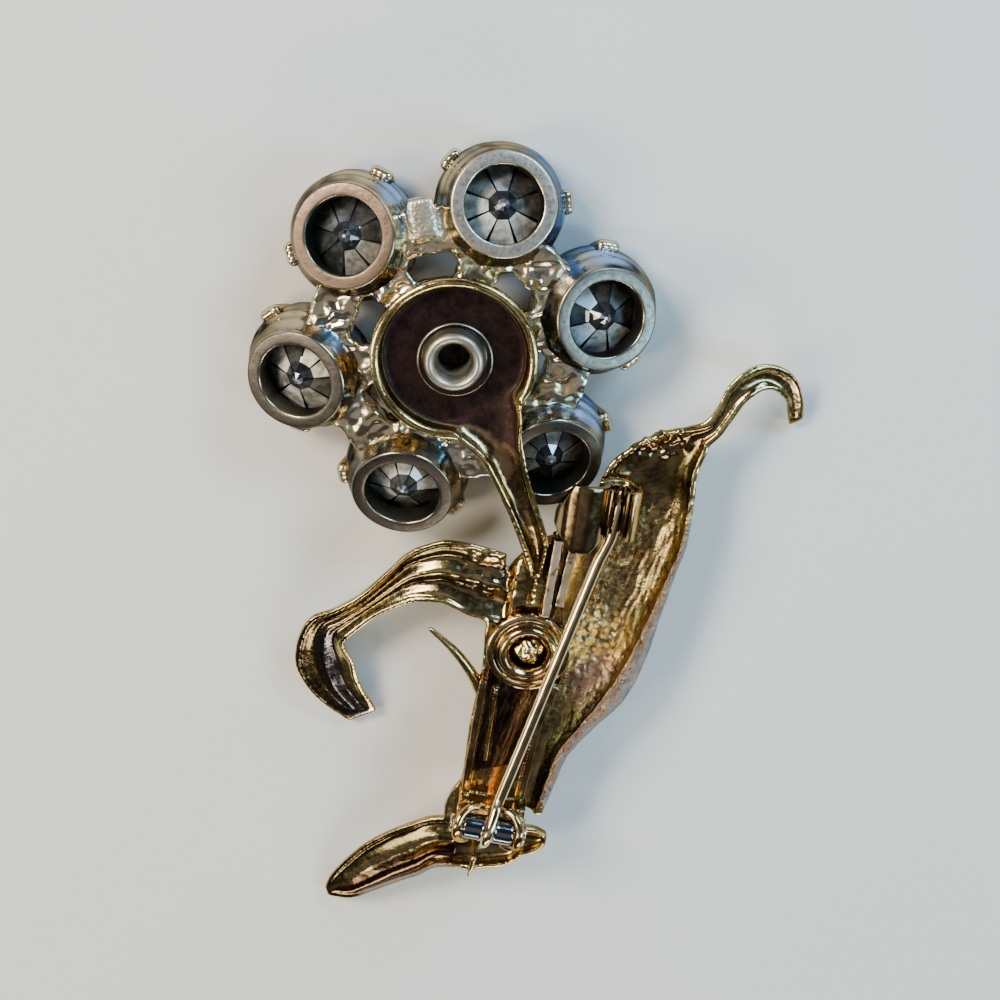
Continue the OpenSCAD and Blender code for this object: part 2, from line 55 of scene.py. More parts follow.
# The hub's dish in the casting, and the top of the flower's plate under it
HUB = np.array([-3.4, 11.9])
HUB_R, HUB_TOP = 6.25, 7.6
HUB_FLOOR = HUB_TOP - 1.3
PLATE_TOP = HUB_FLOOR - 0.8

# The pin back: boss, bar, joint, catch with its slot and thumb tab, and the wire's route
BOSS = np.array([2.2, -12.4])
BAR_Z, BAR_T = 5.85, 0.6
BAR_TOP = BAR_Z + BAR_T
HINGE = np.array([-1.0, -27.3, 8.6])
HINGE_TURN = math.radians(-12)
CATCH = np.array([8.85, 0.4, 8.6])
CATCH_TURN = math.radians(-7)
CATCH_R = 1.7
SLOT = (0.64, 0.54)
TAB = [(-4.9, -1.2), (-3.6, 2.2), (0, 2.2), (0, -2), (-1, -2.3), (-1.9, -3.2), (-3.2, -3.2)]
PIN_R = 0.47
PIN_PATH = np.array([HINGE, [7.5, -3.7, 8.6], [8.46, -1.72, 8.6], [8.9, 0.8, 8.6], [9.05, 2.0, 8.6]])

# Thickness of the casting's walls, and the most triangles of each remeshed piece
WALL = 0.9
MOST = {"spray": 190000, "webs": 150000, "bar": 170000, "pin": 90000, "rivet": 20000}

# Rows of the casting's forms: left edge, right edge, depth of the belly
STEM = [
    [2, -8.2, 5.7, 2.9, -8.2, 5.7, 2],
    [2.3, -6.4, 5.9, 3.4, -5.9, 5.9, 1.9],
    [1.9, -4.5, 6.4, 3.8, -3.6, 6.5, 1.7],
    [1.3, -2.5, 6.9, 3.4, -1.5, 6.95, 1.5],
    [0.6, -0.5, 7.3, 2.75, 0.8, 7.35, 1.4],
    [-0.4, 1.9, 7.6, 2.1, 3.4, 7.7, 1.3],
    [-1.4, 3.9, 7.7, 1.7, 5.8, 7.75, 1.25],
    [-2.4, 4.9, 7.62, 1.75, 7.8, 7.65, 1.3],
    [-3.9, 6.1, 7.46, 1.4, 9.4, 7.44, 1.4]]
TRUNK = [
    [-4.6, -29.8, 4.8, 1.8, -30.4, 5.2, 2.2],
    [-4.6, -27.3, 5.2, 2.2, -28, 5.8, 2.6],
    [-4, -25.7, 5.5, 2.2, -26.6, 5.8, 2.6],
    [-3.1, -24, 5.8, 2.2, -25, 5.8, 2.6],
    [-2.6, -20, 5.8, 3, -21, 5.8, 2.8],
    [-2, -17, 5.8, 4.1, -18, 5.8, 3],
    [-1.4, -14, 5.8, 5.4, -14.6, 5.8, 3.2],
    [-1.2, -11, 5.8, 6, -11.6, 5.8, 3.2],
    [-0.4, -8, 5.8, 6.2, -8.2, 5.8, 3],
    [0.8, -5.4, 5.8, 6.6, -5.4, 5.8, 2.6],
    [2.6, -3.6, 5.8, 7.6, -3, 5.8, 2]]
BIG_LEAF = [
    [0, -26.9, 5.6, 3.4, -28, 5.6, 1.8],
    [0.8, -24.4, 5.7, 4.4, -25.4, 5.5, 2.2],
    [1.6, -21.6, 5.7, 5.5, -22.6, 5.4, 2.5],
    [2.4, -18.8, 5.7, 7.4, -20.3, 5.3, 2.8],
    [3.3, -16, 5.7, 10.2, -17.2, 5.3, 3.1],
    [4.2, -13.2, 5.7, 11.8, -13.4, 5.3, 3.3],
    [5.1, -10.2, 5.7, 12.7, -10.1, 5.3, 3.4],
    [6, -7.2, 5.8, 13.7, -6.8, 5.2, 3.3],
    [7, -3.9, 5.8, 14.6, -3.9, 5.1, 3.1],
    [7.6, -0.6, 5.8, 15, -1.1, 5, 2.8],
    [8.1, 2.4, 5.3, 15.2, 1.4, 4.9, 2.4],
    [9.6, 3.8, 4.9, 15.5, 2.5, 4.8, 2.1],
    [11.5, 4.9, 4.7, 15.9, 3.5, 4.8, 1.8],
    [14.1, 5.6, 4.7, 16.1, 4.1, 4.7, 1.4],
    [15.6, 6.1, 4.7, 16.8, 4.7, 4.6, 1.2],
    [16.5, 7.3, 4.7, 17.7, 6, 4.5, 1.2],
    [17.1, 8.7, 4.7, 18.5, 7.2, 4.4, 1.2],
    [18.2, 9.9, 4.6, 19.4, 8, 4.2, 1.2],
    [19.6, 10.5, 4.3, 20.3, 8.3, 3.8, 1.2],
    [21.1, 10.3, 3.8, 21.2, 7.9, 3.2, 1.1],
    [22.6, 9.1, 3, 22, 6.9, 2.4, 1],
    [23.5, 6.9, 2, 22.3, 5.7, 1.6, 0.9],
    [23.7, 5, 0.95, 22.6, 4.4, 0.85, 0.85]]
LEFT_LEAF = [
    [-0.2, -10.6, 5.6, 0.6, -4.5, 5.72, 2],
    [-2.3, -10, 5.5, -1.7, -3.7, 5.7, 1.9],
    [-4.3, -9, 5.3, -4, -3.4, 5.5, 1.8],
    [-5.7, -8.9, 5.1, -5.6, -3.8, 5.3, 1.7],
    [-7, -9.1, 4.8, -7.3, -4.7, 5, 1.7],
    [-8.5, -9.8, 4.5, -9, -6.5, 4.6, 1.6],
    [-10, -10.8, 4.1, -11.2, -8.7, 4.1, 1.5],
    [-11.8, -12.4, 3.8, -13.5, -10.2, 3.6, 1.4],
    [-12.5, -13.3, 3.5, -15.1, -11, 3.2, 1.4],
    [-12.3, -14.2, 3.2, -16.2, -12.7, 2.8, 1.4],
    [-11.8, -15.3, 2.8, -16.7, -15.1, 2.4, 1.4],
    [-11.6, -16.7, 2.4, -16.4, -16.9, 2, 1.3],
    [-11.2, -18.2, 1.9, -15.6, -18.6, 1.6, 1.2],
    [-10.6, -19.5, 1.5, -14.4, -20.1, 1.2, 1.1],
    [-10.2, -20.6, 1.1, -12.6, -21.7, 0.9, 1]]
BOTTOM_LEAF = [
    [-2.4, -33.6, 4.8, -2.6, -28.6, 5.4, 2.2],
    [-5.2, -33.7, 4.4, -5.5, -28.6, 4.8, 2],
    [-6.9, -34.9, 3.8, -7.6, -29.6, 4.2, 1.8],
    [-8.8, -36, 3.2, -9.5, -30.8, 3.5, 1.6],
    [-10.8, -37.3, 2.5, -11.6, -32.5, 2.8, 1.4],
    [-12.7, -38.4, 1.9, -13.4, -34.6, 2.1, 1.2],
    [-14.1, -38.6, 1.4, -14.6, -36.4, 1.5, 1.1],
    [-14.9, -38.7, 1, -15.1, -37.8, 1.05, 1.02]]
TAIL_CUP = [
    [-2.8, -29.4, 5.2, -3, -33.6, 4.8, 2.2],
    [0, -29.3, 5.4, 0.3, -33.4, 4.8, 2.2],
    [1.7, -29.3, 5.2, 1.8, -32.5, 4.8, 2],
    [3, -29.6, 5, 3.1, -32, 4.7, 1.6],
    [3.9, -30.3, 4.8, 3.8, -31.3, 4.7, 1.2]]
TENDRIL = [
    [-1, -18.1, 5.1, 0.55],
    [-1.6, -16.4, 5.3, 0.5],
    [-2.3, -14.8, 5.5, 0.45],
    [-3.2, -13.3, 5.7, 0.38],
    [-4.3, -11.9, 5.9, 0.3],
    [-5.5, -10.7, 6, 0.2]]
THORN = [[-2.2, -32.4, 4.9, 0.3], [-2.4, -33.3, 4.9, 0.22], [-2.7, -34.2, 4.8, 0.12]]


# Mesh tools

def smooth_rows(rows, n):
    """Rows of numbers with n steps between each pair, on one smooth curve."""
    p = np.asarray(rows, float)
    p = np.vstack([2 * p[0] - p[1], p, 2 * p[-1] - p[-2]])
    out = []
    for i in range(1, len(p) - 2):
        a, b, c, d = p[i - 1], p[i], p[i + 1], p[i + 2]
        for t in np.arange(n) / n:
            out.append(0.5 * (2 * b + (c - a) * t + (2 * a - 5 * b + 4 * c - d) * t ** 2
                              + (3 * b - a - 3 * c + d) * t ** 3))
    out.append(p[-2])
    return np.array(out)


def circle(n):
    """Angles of n points round a circle."""
    return np.arange(n) * 2 * math.pi / n


def new_object(name, verts, faces):
    mesh = bpy.data.meshes.new(name)
    mesh.from_pydata([tuple(v) for v in verts], [], faces)
    mesh.update()
    obj = bpy.data.objects.new(name, mesh)
    bpy.context.scene.collection.objects.link(obj)
    return obj


def loft(name, rings):
    """Skin through closed rings of equally many points, with a fan over each end."""
    rings = np.asarray(rings, float)
    m, n = rings.shape[:2]
    verts = [*rings.reshape(-1, 3), rings[0].mean(0), rings[-1].mean(0)]
    faces = [[i * n + j, i * n + (j + 1) % n, (i + 1) * n + (j + 1) % n, (i + 1) * n + j]
             for i in range(m - 1) for j in range(n)]
    first, last = m * n, m * n + 1
    faces += [[first, (j + 1) % n, j] for j in range(n)]
    faces += [[last, (m - 1) * n + j, (m - 1) * n + (j + 1) % n] for j in range(n)]
    obj = new_object(name, verts, faces)
    fix_normals(obj)
    return obj


def box(name, x, y, low, high):
    """Block of half-widths x and y between two heights."""
    return loft(name, [[(-x, -y, z), (x, -y, z), (x, y, z), (-x, y, z)] for z in (low, high)])


def fix_normals(obj):
    """Turns a closed mesh right side out."""
    mesh = obj.data
    mesh.calc_loop_triangles()
    tri = np.zeros(len(mesh.loop_triangles) * 3, int)
    mesh.loop_triangles.foreach_get("vertices", tri)
    a, b, c = np.moveaxis(coords(mesh)[tri.reshape(-1, 3)], 1, 0)
    if np.einsum("ij,ij->i", a, np.cross(b, c)).sum() < 0:
        mesh.flip_normals()


def coords(mesh):
    co = np.zeros(len(mesh.vertices) * 3)
    mesh.vertices.foreach_get("co", co)
    return co.reshape(-1, 3)


def normals(mesh):
    no = np.zeros(len(mesh.vertices) * 3, np.float32)
    mesh.vertex_normals.foreach_get("vector", no)
    return no.reshape(-1, 3).astype(float)


def surface(obj):
    return coords(obj.data), normals(obj.data)


def set_coords(mesh, co):
    mesh.vertices.foreach_set("co", np.asarray(co, np.float32).ravel())
    mesh.update()


def modify(obj, kind, **settings):
    """Adds a modifier with these settings and applies it."""
    mod = obj.modifiers.new(kind, kind)
    for name, value in settings.items():
        setattr(mod, name, value)
    graph = bpy.context.evaluated_depsgraph_get()
    graph.update()
    mesh = bpy.data.meshes.new_from_object(obj.evaluated_get(graph))
    before = obj.data
    obj.modifiers.clear()
    obj.data = mesh
    bpy.data.meshes.remove(before)
    return obj


def remesh(obj, size):
    return modify(obj, "REMESH", mode="VOXEL", voxel_size=size, adaptivity=0)


def relax(obj, rounds):
    return modify(obj, "SMOOTH", iterations=rounds, factor=0.5)


def bevel(obj, width):
    return modify(obj, "BEVEL", width=width, segments=3, limit_method="ANGLE", angle_limit=math.radians(35))


def thin_out(obj, most):
    """Brings a mesh down to a number of triangles."""
    tris = sum(len(p.vertices) - 2 for p in obj.data.polygons)
    if tris > most:
        modify(obj, "DECIMATE", ratio=most / tris)


def carve(obj, cutters):
    for cutter in cutters:
        modify(obj, "BOOLEAN", operation="DIFFERENCE", solver="MANIFOLD", object=cutter)
    drop(cutters)


def drop(objs):
    for o in objs:
        mesh = o.data
        bpy.data.objects.remove(o)
        bpy.data.meshes.remove(mesh)


def join(name, objs):
    """One new object in place of several."""
    verts, faces, base = [], [], 0
    for o in objs:
        co = coords(o.data)
        verts.append(co)
        faces += [[v + base for v in p.vertices] for p in o.data.polygons]
        base += len(co)
    drop(objs)
    return new_object(name, np.vstack(verts), faces)


def soften(obj, weight, rounds):
    """Smooths a mesh by each vertex's own weight."""
    mesh = obj.data
    ends = np.zeros(len(mesh.edges) * 2, int)
    mesh.edges.foreach_get("vertices", ends)
    a, b = ends.reshape(-1, 2).T
    co = coords(mesh)
    count = np.bincount(ends, minlength=len(co))[:, None]
    for _ in range(rounds):
        total = np.stack([np.bincount(a, co[b, k], len(co)) + np.bincount(b, co[a, k], len(co))
                          for k in range(3)], axis=1)
        co += (total / count - co) * 0.6 * weight[:, None]
    set_coords(mesh, co)


def lumps(co, scale, octaves, seed):
    """Smooth noise from -1 to 1 at each point; scale is the size of a lump in millimetres."""
    out = np.zeros(len(co))
    off = Vector((seed * 7.3, seed * 3.1, seed * 5.7))
    for k, p in enumerate(co):
        v = Vector(p) / scale + off
        t, amp = 0.0, 1.0
        for _ in range(octaves):
            t += amp * noise.noise(v)
            v = v * 2.1
            amp *= 0.5
        out[k] = t
    return out


def set_attributes(obj, **values):
    """Numbers for each vertex under each name, for the materials to read."""
    mesh = obj.data
    for name, value in values.items():
        layer = mesh.attributes.new(name, "FLOAT", "POINT")
        layer.data.foreach_set("value", np.full(len(mesh.vertices), value, np.float32))


def to_line(co, line):
    """Distance in the plan from each point to a line of points."""
    line = np.asarray(line, float)[:, :2]
    p = co[:, :2]
    best = np.full(len(p), 1e9)
    for a, b in zip(line[:-1], line[1:]):
        ab = b - a
        t = np.clip(((p - a) @ ab) / (ab @ ab), 0, 1)
        best = np.minimum(best, np.linalg.norm(p - (a + t[:, None] * ab), axis=1))
    return best


def nearest(co, line):
    """Index of the nearest row of a line in the plan to each point, and its distance."""
    d = np.linalg.norm(co[:, None, :2] - line[None, :, :2], axis=2)
    return d.argmin(1), d.min(1)


def step(x, low, high):
    """Smooth step from 0 at low to 1 at high; low may be the greater."""
    t = np.clip((np.asarray(x) - low) / (high - low), 0, 1)
    return t * t * (3 - 2 * t)


def near(co, where, far, close, squeeze=(1, 1)):
    """1 close to a spot in the plan, 0 far from it."""
    return step(np.linalg.norm((co[:, :2] - np.array(where)) * squeeze, axis=1), far, close)


def turned_at(where, turn):
    """Matrix that turns about Z and then moves to a place."""
    return Matrix.Translation(Vector(where)) @ Matrix.Rotation(turn, 4, "Z")


def revolve(name, profile, segments, at=(0, 0, 0), matrix=None):
    """Closed solid of revolution from a closed profile of radius and height."""
    m = len(profile)
    verts, faces = [], []
    for i, a in enumerate(circle(segments)):
        verts += [(r * math.cos(a), r * math.sin(a), z) for r, z in profile]
        here, after = i * m, (i + 1) % segments * m
        faces += [[here + j, after + j, after + (j + 1) % m, here + (j + 1) % m] for j in range(m)]
    obj = new_object(name, verts, faces)
    if matrix is not None:
        obj.data.transform(matrix)
    obj.data.transform(Matrix.Translation(Vector(at)))
    fix_normals(obj)
    return obj


def capsule(name, a, b, ra, rb, around, along):
    """Rounded wire from a to b, tapering from one radius to the other."""
    return tube(name, [list(a) + [ra], list(b) + [rb]], around, along)


def tube(name, rows, around, along):
    """Tube with rounded ends through points with a radius each."""
    rows = np.asarray(rows, float)
    line = smooth_rows(rows, along) if len(rows) > 2 else np.array(
        [rows[0] + (rows[1] - rows[0]) * t for t in np.linspace(0, 1, along + 1)])
    p, r = line[:, :3], line[:, 3]
    d = np.gradient(p, axis=0)
    d /= np.linalg.norm(d, axis=1, keepdims=True)
    caps = np.radians([10, 35, 65])
    stations = [(p[0] - d[0] * r[0] * math.cos(a), r[0] * math.sin(a), d[0]) for a in caps]
    stations += zip(p, r, d)
    stations += [(p[-1] + d[-1] * r[-1] * math.cos(a), r[-1] * math.sin(a), d[-1]) for a in caps[::-1]]
    rings = []
    side = np.cross(d[0], [0.31, 0.17, 0.93])
    for centre, radius, way in stations:
        side = side - way * (side @ way)
        side /= np.linalg.norm(side)
        other = np.cross(way, side)
        rings.append([centre + radius * (math.cos(t) * side + math.sin(t) * other) for t in circle(around)])
    return loft(name, rings)


# The casting

# Steps across a form and between two of its rows
ACROSS, ALONG = 24, 6
# Width of the worn rim on the big leaf's right side and of the stem's right rim, row by row, and the
# height of the floor of the stem's channel
LEAF_RIM = [0.7, 0.8, 0.95, 1.15, 1.85, 1.45, 0.95, 0.65, 0.55] + [0.5] * 14
STEM_RIM = [0.5] * 6 + [0.42, 0.32, 0.3]
STEM_FLOOR = [4.6, 4.9, 5.65, 6.3, 6.8, 7.12, 7.02, 6.6, 6.3]


def form_ring(row):
    """Closed section of a form: the belly's arc and the flat back between the edges."""
    a, b = row[0:3], row[3:6]
    mid, half = (a + b) / 2, (b - a) / 2
    t = np.linspace(0, math.pi, ACROSS + 1)
    arc = mid + half * np.cos(t)[:, None] - np.outer(np.sin(t) * row[6], [0, 0, 1])
    flat = [a + (b - a) * k / 6 for k in range(1, 6)]
    return np.vstack([arc, flat])


def hollow_ring(row, rim, rim_right=None, floor=None, ridges=0.0, count=3, skew=1.0, sharp=1.0):
    """Closed section of a hollow, with lengthwise ridges on its floor."""
    a, b = row[0:3], row[3:6]
    length = np.linalg.norm(b - a)
    along = (b - a) / length
    right = rim if rim_right is None else rim_right
    spare = min(1.0, (length - 0.24) / (rim + right))
    a, b = a + along * rim * spare, b - along * right * spare
    mid, half = (a + b) / 2, (b - a) / 2
    deep = max(row[6] - WALL, 0.12)
    if floor is not None:
        deep = mid[2] - floor
    t = np.linspace(0, math.pi, ACROSS + 1)
    crest = (0.5 - 0.5 * np.cos(2 * count * math.pi * (t / math.pi) ** skew)) ** sharp
    wave = 1 - ridges * crest * np.sin(t)
    arc = mid + half * np.cos(t)[:, None] - np.outer(np.sin(t) ** 0.8 * deep * wave, [0, 0, 1])
    arc[0, 2] += 0.3
    arc[-1, 2] += 0.3
    return np.vstack([arc, [mid - half + [0, 0, 3], mid + half + [0, 0, 3]]])


def form(rows):
    """Solid through the rows, with a flat back."""
    return loft("form", [form_ring(r) for r in smooth_rows(rows, ALONG)])


def hollow(rows, end=-0.4, **looks):
    """Cutter for the back of a form; a look that is a list goes row by row."""
    rows = np.asarray(rows, float)
    rows = np.vstack([rows[0] + (rows[0] - rows[1]) * 0.3, rows[1:-1],
                      rows[-1] + (rows[-1] - rows[-2]) * end])
    rows = smooth_rows(rows, ALONG)
    rings = []
    for k, row in enumerate(rows):
        at = k / ALONG
        now = {n: float(np.interp(at, np.arange(len(v)), v)) if isinstance(v, list) else v
               for n, v in looks.items()}
        rings.append(hollow_ring(row, **now))
    return loft("hollow", rings)


def petal_matrix(i):
    """From a cup's own frame, with X outwards and the girdle at 0, to its place in the flower."""
    turn, reach = PETALS[i]
    return (turned_at((*FLOWER, GIRDLE_Z), math.radians(turn)) @ Matrix.Translation((reach, 0, 0))
            @ Matrix.Rotation(CUP_LEAN, 4, "Y"))


def make_hub():
    """The hub's dish, with a rolled rim and a hole for the rivet."""
    under, hole = HUB_FLOOR - 0.7, 1.95
    inset_and_height = [
        (1.7, under), (1.1, under + 0.1), (0.6, under + 0.4), (0.2, under + 0.8), (0, HUB_TOP - 0.7),
        (0, HUB_TOP - 0.2), (0.1, HUB_TOP - 0.05), (0.3, HUB_TOP), (0.45, HUB_TOP), (0.66, HUB_TOP - 0.14),
        (0.78, HUB_TOP - 0.4), (0.88, HUB_FLOOR + 0.25), (1.05, HUB_FLOOR + 0.08), (1.3, HUB_FLOOR)]
    profile = [(hole, under)] + [(HUB_R - inset, z) for inset, z in inset_and_height] + [(hole, HUB_FLOOR)]
    return revolve("hub", profile, 128, (*HUB, 0))


def make_spray():
    body = join("spray_look", [make_hub()] + [form(rows) for rows in (
        STEM, TRUNK, BIG_LEAF, LEFT_LEAF, BOTTOM_LEAF, TAIL_CUP)])
    remesh(body, 0.13)
    gap = 0.12
    room = revolve("room", [(CUP_R + gap, 0), (CUP_R + gap, 0.6), (RING_R + 0.42, 2.4),
                            (RING_R + gap, CUP_DEPTH + gap), (0.02, CUP_DEPTH + gap), (0.02, 0)],
                   48, matrix=petal_matrix(CROSSED_PETAL))
    carve(body, [hollow(STEM, 0.7, rim=0.5, rim_right=STEM_RIM, floor=STEM_FLOOR),
                 hollow(BIG_LEAF, rim=0.6, rim_right=LEAF_RIM, ridges=0.06),
                 hollow(LEFT_LEAF, rim=0.45, ridges=0.75),
                 hollow(BOTTOM_LEAF, rim=0.5, ridges=0.95, count=1, skew=0.8, sharp=2.0),
                 hollow(TAIL_CUP, rim=0.45), room])
    body = join("spray_look", [body, tube("peg", [[*BOSS, 4.9, 1.36], [*BOSS, 5.9, 1.3]], 32, 3),
                               tube("tendril", TENDRIL, 16, 6), tube("thorn", THORN, 12, 4)])
    remesh(body, 0.11)
    relax(body, 4)
    # The stem's mouth in the hub, its seam with the body and its bend are blended
    co, no = surface(body)
    mouth = near(co, (-0.9, 7.0), 3.4, 2.4) * step(co[:, 2], 7.4, 7.1)
    soften(body, mouth * step(no[:, 2], 0.1, 0.4), 60)
    seam = near(co, (0.0, -7.2), 4.2, 2.6) * step(co[:, 2], 6.0, 5.6)
    soften(body, seam * step(no[:, 2], -0.2, 0.2), 40)
    co = coords(body.data)
    bend = near(co, (1.2, 8.1), 2.0, 0.9)
    soften(body, bend * step(co[:, 2], HUB_TOP + 0.06, HUB_TOP - 0.12), 50)
    co, no = surface(body)
    set_coords(body.data, co + no * cast_skin(co, no)[:, None])
    thin_out(body, MOST["spray"])
    return body


def cast_skin(co, no):
    """How far the cast metal stands out at each point."""
    up, inside = no[:, 2], leaf_inside(co, no)
    fine = lumps(co, 0.33, 2, 2.5)
    # Gentle lumps everywhere, and flow lines and crystals in the big leaf's hollow
    push = 0.03 * lumps(co, 1.8, 2, 1.0)
    coarse = np.abs(lumps(co, 0.8, 3, 2.0)) - 0.25
    c, s, stretch = 0.94, 0.34, 0.25
    x, y, z = co.T
    along_leaf = np.stack([c * x - s * y, stretch * (s * x + c * y), z], axis=1)
    flow = lumps(along_leaf, 0.55, 2, 2.2)
    push = push + inside * (0.1 * flow + 0.28 * crystal_patch(co) * coarse + 0.02 * fine)
    # A chalky rim, a frilled end, a rough peg and solder where the leaves meet
    push = push + rim_share(co) * step(up, 0.0, 0.6) * (0.22 * lumps(co, 0.9, 3, 3.0) + 0.05 * fine - 0.09)
    push = push + near(co, (12.2, 4.4), 1.9, 0.9, (0.55, 1.0)) * 0.3 * lumps(co, 1.0, 2, 9.0)
    peg = near(co, BOSS, 1.45, 1.3) * step(co[:, 2], 5.9, 6.3)
    push = push + peg * (0.28 * lumps(co, 0.9, 2, 5.0) - 0.1)
    join_zone = near(co, (-1.0, -6.2), 3.8, 1.4) * step(up, -0.2, 0.4)
    return push + join_zone * 0.17 * lumps(co, 1.5, 3, 6.0)


def crystal_patch(co):
    """1 where the cast metal in the big leaf is crystalline."""
    return near(co, (7.9, -13.4), 3.6, 1.4, (1.0, 0.75))


def to_leaf_side(co):
    """Distance from the big leaf's right side, and the width of the worn rim there."""
    rows = smooth_rows(np.hstack([np.array(BIG_LEAF)[:, 3:6], np.array(LEAF_RIM)[:, None]]), 6)
    k, distance = nearest(co, rows)
    return distance, rows[k, 3]


def rim_share(co):
    """1 on the worn rim along the big leaf's right side."""
    distance, width = to_leaf_side(co)
    width = width + 0.22 * lumps(co, 0.9, 2, 7.0)
    return (step(distance, width + 0.3, width - 0.02) * step(co[:, 1], 2.6, -2.0)
            * step(co[:, 1], -27.8, -26.0))


def plan_bounds(co, rows, pad):
    """1 well inside the plan of a form, 0 outside it."""
    rows = smooth_rows(rows, 3)
    a, b = rows[:, 0:2], rows[:, 3:5]
    mid, half = (a + b) / 2, np.linalg.norm(b - a, axis=1) / 2
    best = np.full(len(co), -1e9)
    for m, h in zip(mid, half):
        best = np.maximum(best, h - np.linalg.norm(co[:, :2] - m, axis=1))
    return step(best, 0, pad)


def leaf_inside(co, no):
    """1 on the floor of the big leaf's hollow."""
    return (plan_bounds(co, BIG_LEAF, 0.8) * step(no[:, 2], 0.05, 0.4) * step(co[:, 2], 5.3, 5.0)
            * step(co[:, 0], 3.0, 4.5) * step(co[:, 1], 0.5, -2.5) * (1 - rim_share(co)))


def between_edges(rows, share=0.5):
    """Line that runs this share of the way from a form's left edge to its right one."""
    rows = np.array(rows)
    return rows[:, :3] * (1 - share) + rows[:, 3:6] * share


def in_stem_channel(co):
    """1 in the stem's channel, and how far right of its middle each point lies."""
    rows = smooth_rows(STEM, 4)
    mid, half = (rows[:, :3] + rows[:, 3:6]) / 2, np.linalg.norm(rows[:, 3:6] - rows[:, :3], axis=1) / 2
    k, distance = nearest(co, mid)
    share = step(distance, half[k] - 0.35, half[k] - 0.65) * step(mid[k, 2] - co[:, 2], 0.12, 0.3)
    across = rows[k, 3:5] - rows[k, :2]
    side = np.einsum("ij,ij->i", co[:, :2] - mid[k, :2], across) / np.linalg.norm(across, axis=1)
    return share, side


def depth_share(co, up):
    """From 0 at the edges of the hollows to 1 at their deepest, for a painted shade."""
    deep = np.zeros(len(co))
    for rows in (BIG_LEAF, LEFT_LEAF, BOTTOM_LEAF, TAIL_CUP):
        r = smooth_rows(rows, 3)
        mid = (r[:, 0:3] + r[:, 3:6]) / 2
        k, distance = nearest(co, mid)
        half = np.linalg.norm(r[:, 3:6] - r[:, 0:3], axis=1)[k] / 2
        below = (mid[k, 2] - co[:, 2]) / np.maximum(r[k, 6] - WALL, 0.3)
        deep = np.maximum(deep, np.clip(below, 0, 1) * step(distance, half, half - 0.4) * up)
    return deep


def spray_looks(obj):
    """Attributes that the casting's material reads."""
    co, no = surface(obj)
    x, y, z = co.T
    up = step(no[:, 2], 0.3, 0.7)
    inside = leaf_inside(co, no)
    # Plum enamel on the hub's floor and part of the stem's channel
    floor = near(co, HUB, HUB_R - 0.72, HUB_R - 0.98) * step(z, HUB_TOP - 0.3, HUB_TOP - 0.65)
    channel, side = in_stem_channel(co)
    flow = channel * step(y + 0.9 * side + 0.5 * lumps(co, 1.2, 2, 8.0), 4.4, 5.6)
    # Bright yellow metal on the peg and a clump, and a painted highlight on a patch by the stem and along
    # the bottom leaf's crest
    peg = near(co, BOSS, 1.5, 1.3) * step(z, 5.9, 6.2)
    clump = near(co, (-1.7, -4.3), 1.5, 0.6) * step(lumps(co, 0.6, 2, 9.5), -0.1, 0.2)
    patch = near(co, (-0.1, -8.4), 1.0, 0.6, (1.9, 1.0)) * up
    crest = step(to_line(co, between_edges(BOTTOM_LEAF[1:6], 0.6)), 0.3, 0.16) * up
    # Wear on the big leaf's rim and the bottom leaf's lower edge
    wear = rim_share(co) * step(no[:, 2], -0.1, 0.35) * (0.35 + 0.65 * step(y, 0.0, -6.0))
    low_edge = (step(to_line(co, between_edges(BOTTOM_LEAF, 0)), 0.6, 0.35) * up * step(x, -3.0, -5.0)
                * step(x, -13.0, -11.0))
    distance, width = to_leaf_side(co)
    # Reddish, olive and slate bands on the two smaller leaves
    low = plan_bounds(co, BOTTOM_LEAF, 0.5) * up * step(x, -2.5, -4.0)
    middle = smooth_rows(between_edges(BOTTOM_LEAF), 3)
    below = np.interp(x, middle[::-1, 0], middle[::-1, 1]) - y
    left_top = (step(to_line(co, between_edges(LEFT_LEAF[2:], 1)), 1.7, 0.9)
                * plan_bounds(co, LEFT_LEAF, 0.3) * up)
    tip = between_edges(LEFT_LEAF[8:], 0.45)
    set_attributes(
        obj,
        plum=np.clip(np.maximum(floor * up, flow * up), 0, 1),
        channel=channel * up,
        bright=np.maximum(np.maximum(peg, clump * up), np.maximum(patch, crest)),
        wear=np.maximum(wear, low_edge),
        edge=np.clip(distance / width, 0, 1.5) * step(wear, 0.0, 0.1),
        crystal=inside * crystal_patch(co),
        inside=inside,
        pink=inside * near(co, (8.4, -17.2), 3.0, 1.2, (0.9, 0.75)),
        red=low * step(below, -0.3, 0.5),
        olive=np.maximum(low * step(below, 0.1, -0.5), left_top * step(x, -2.5, -4.0)),
        slate=step(to_line(co, tip), 0.95, 0.55) * up * step(y, -11.5, -13.0),
        # deep carries a painted shade in the hollows
        deep=depth_share(co, up))


# The flower

# A cup's section, as radius and height above the girdle, from the front's edge over the ring and back
CUP_SECTION = [
    (4.42, -1.0), (4.58, -1.0), (4.8, -0.75), (4.86, -0.4), (4.88, 0.0), (4.86, 0.35), (4.78, 0.62),
    (4.74, 0.8), (4.78, 0.95), (4.74, 1.12), (4.62, 1.35), (4.5, 1.55), (4.46, 1.75), (4.42, 1.95),
    (4.3, 2.2), (4.2, 2.4), (4.13, 2.6), (4.06, 2.8), (4.01, 2.95), (3.97, 3.1), (3.94, 3.2),
    (3.9, 3.28), (3.84, 3.34), (3.78, 3.37), (3.75, 3.375), (3.6, 3.385), (3.4, 3.395), (3.2, 3.4),
    (3.04, 3.4), (3.01, 3.395), (2.95, 3.37), (2.9, 3.32), (2.88, 3.24), (2.87, 3.1), (2.87, 2.6),
    (2.87, 1.72), (2.93, 1.5), (3.2, 1.25), (3.8, 0.74), (4.3, 0.32), (4.39, 0.24), (4.39, 0.0),
    (4.39, -0.5), (4.39, -0.95)]
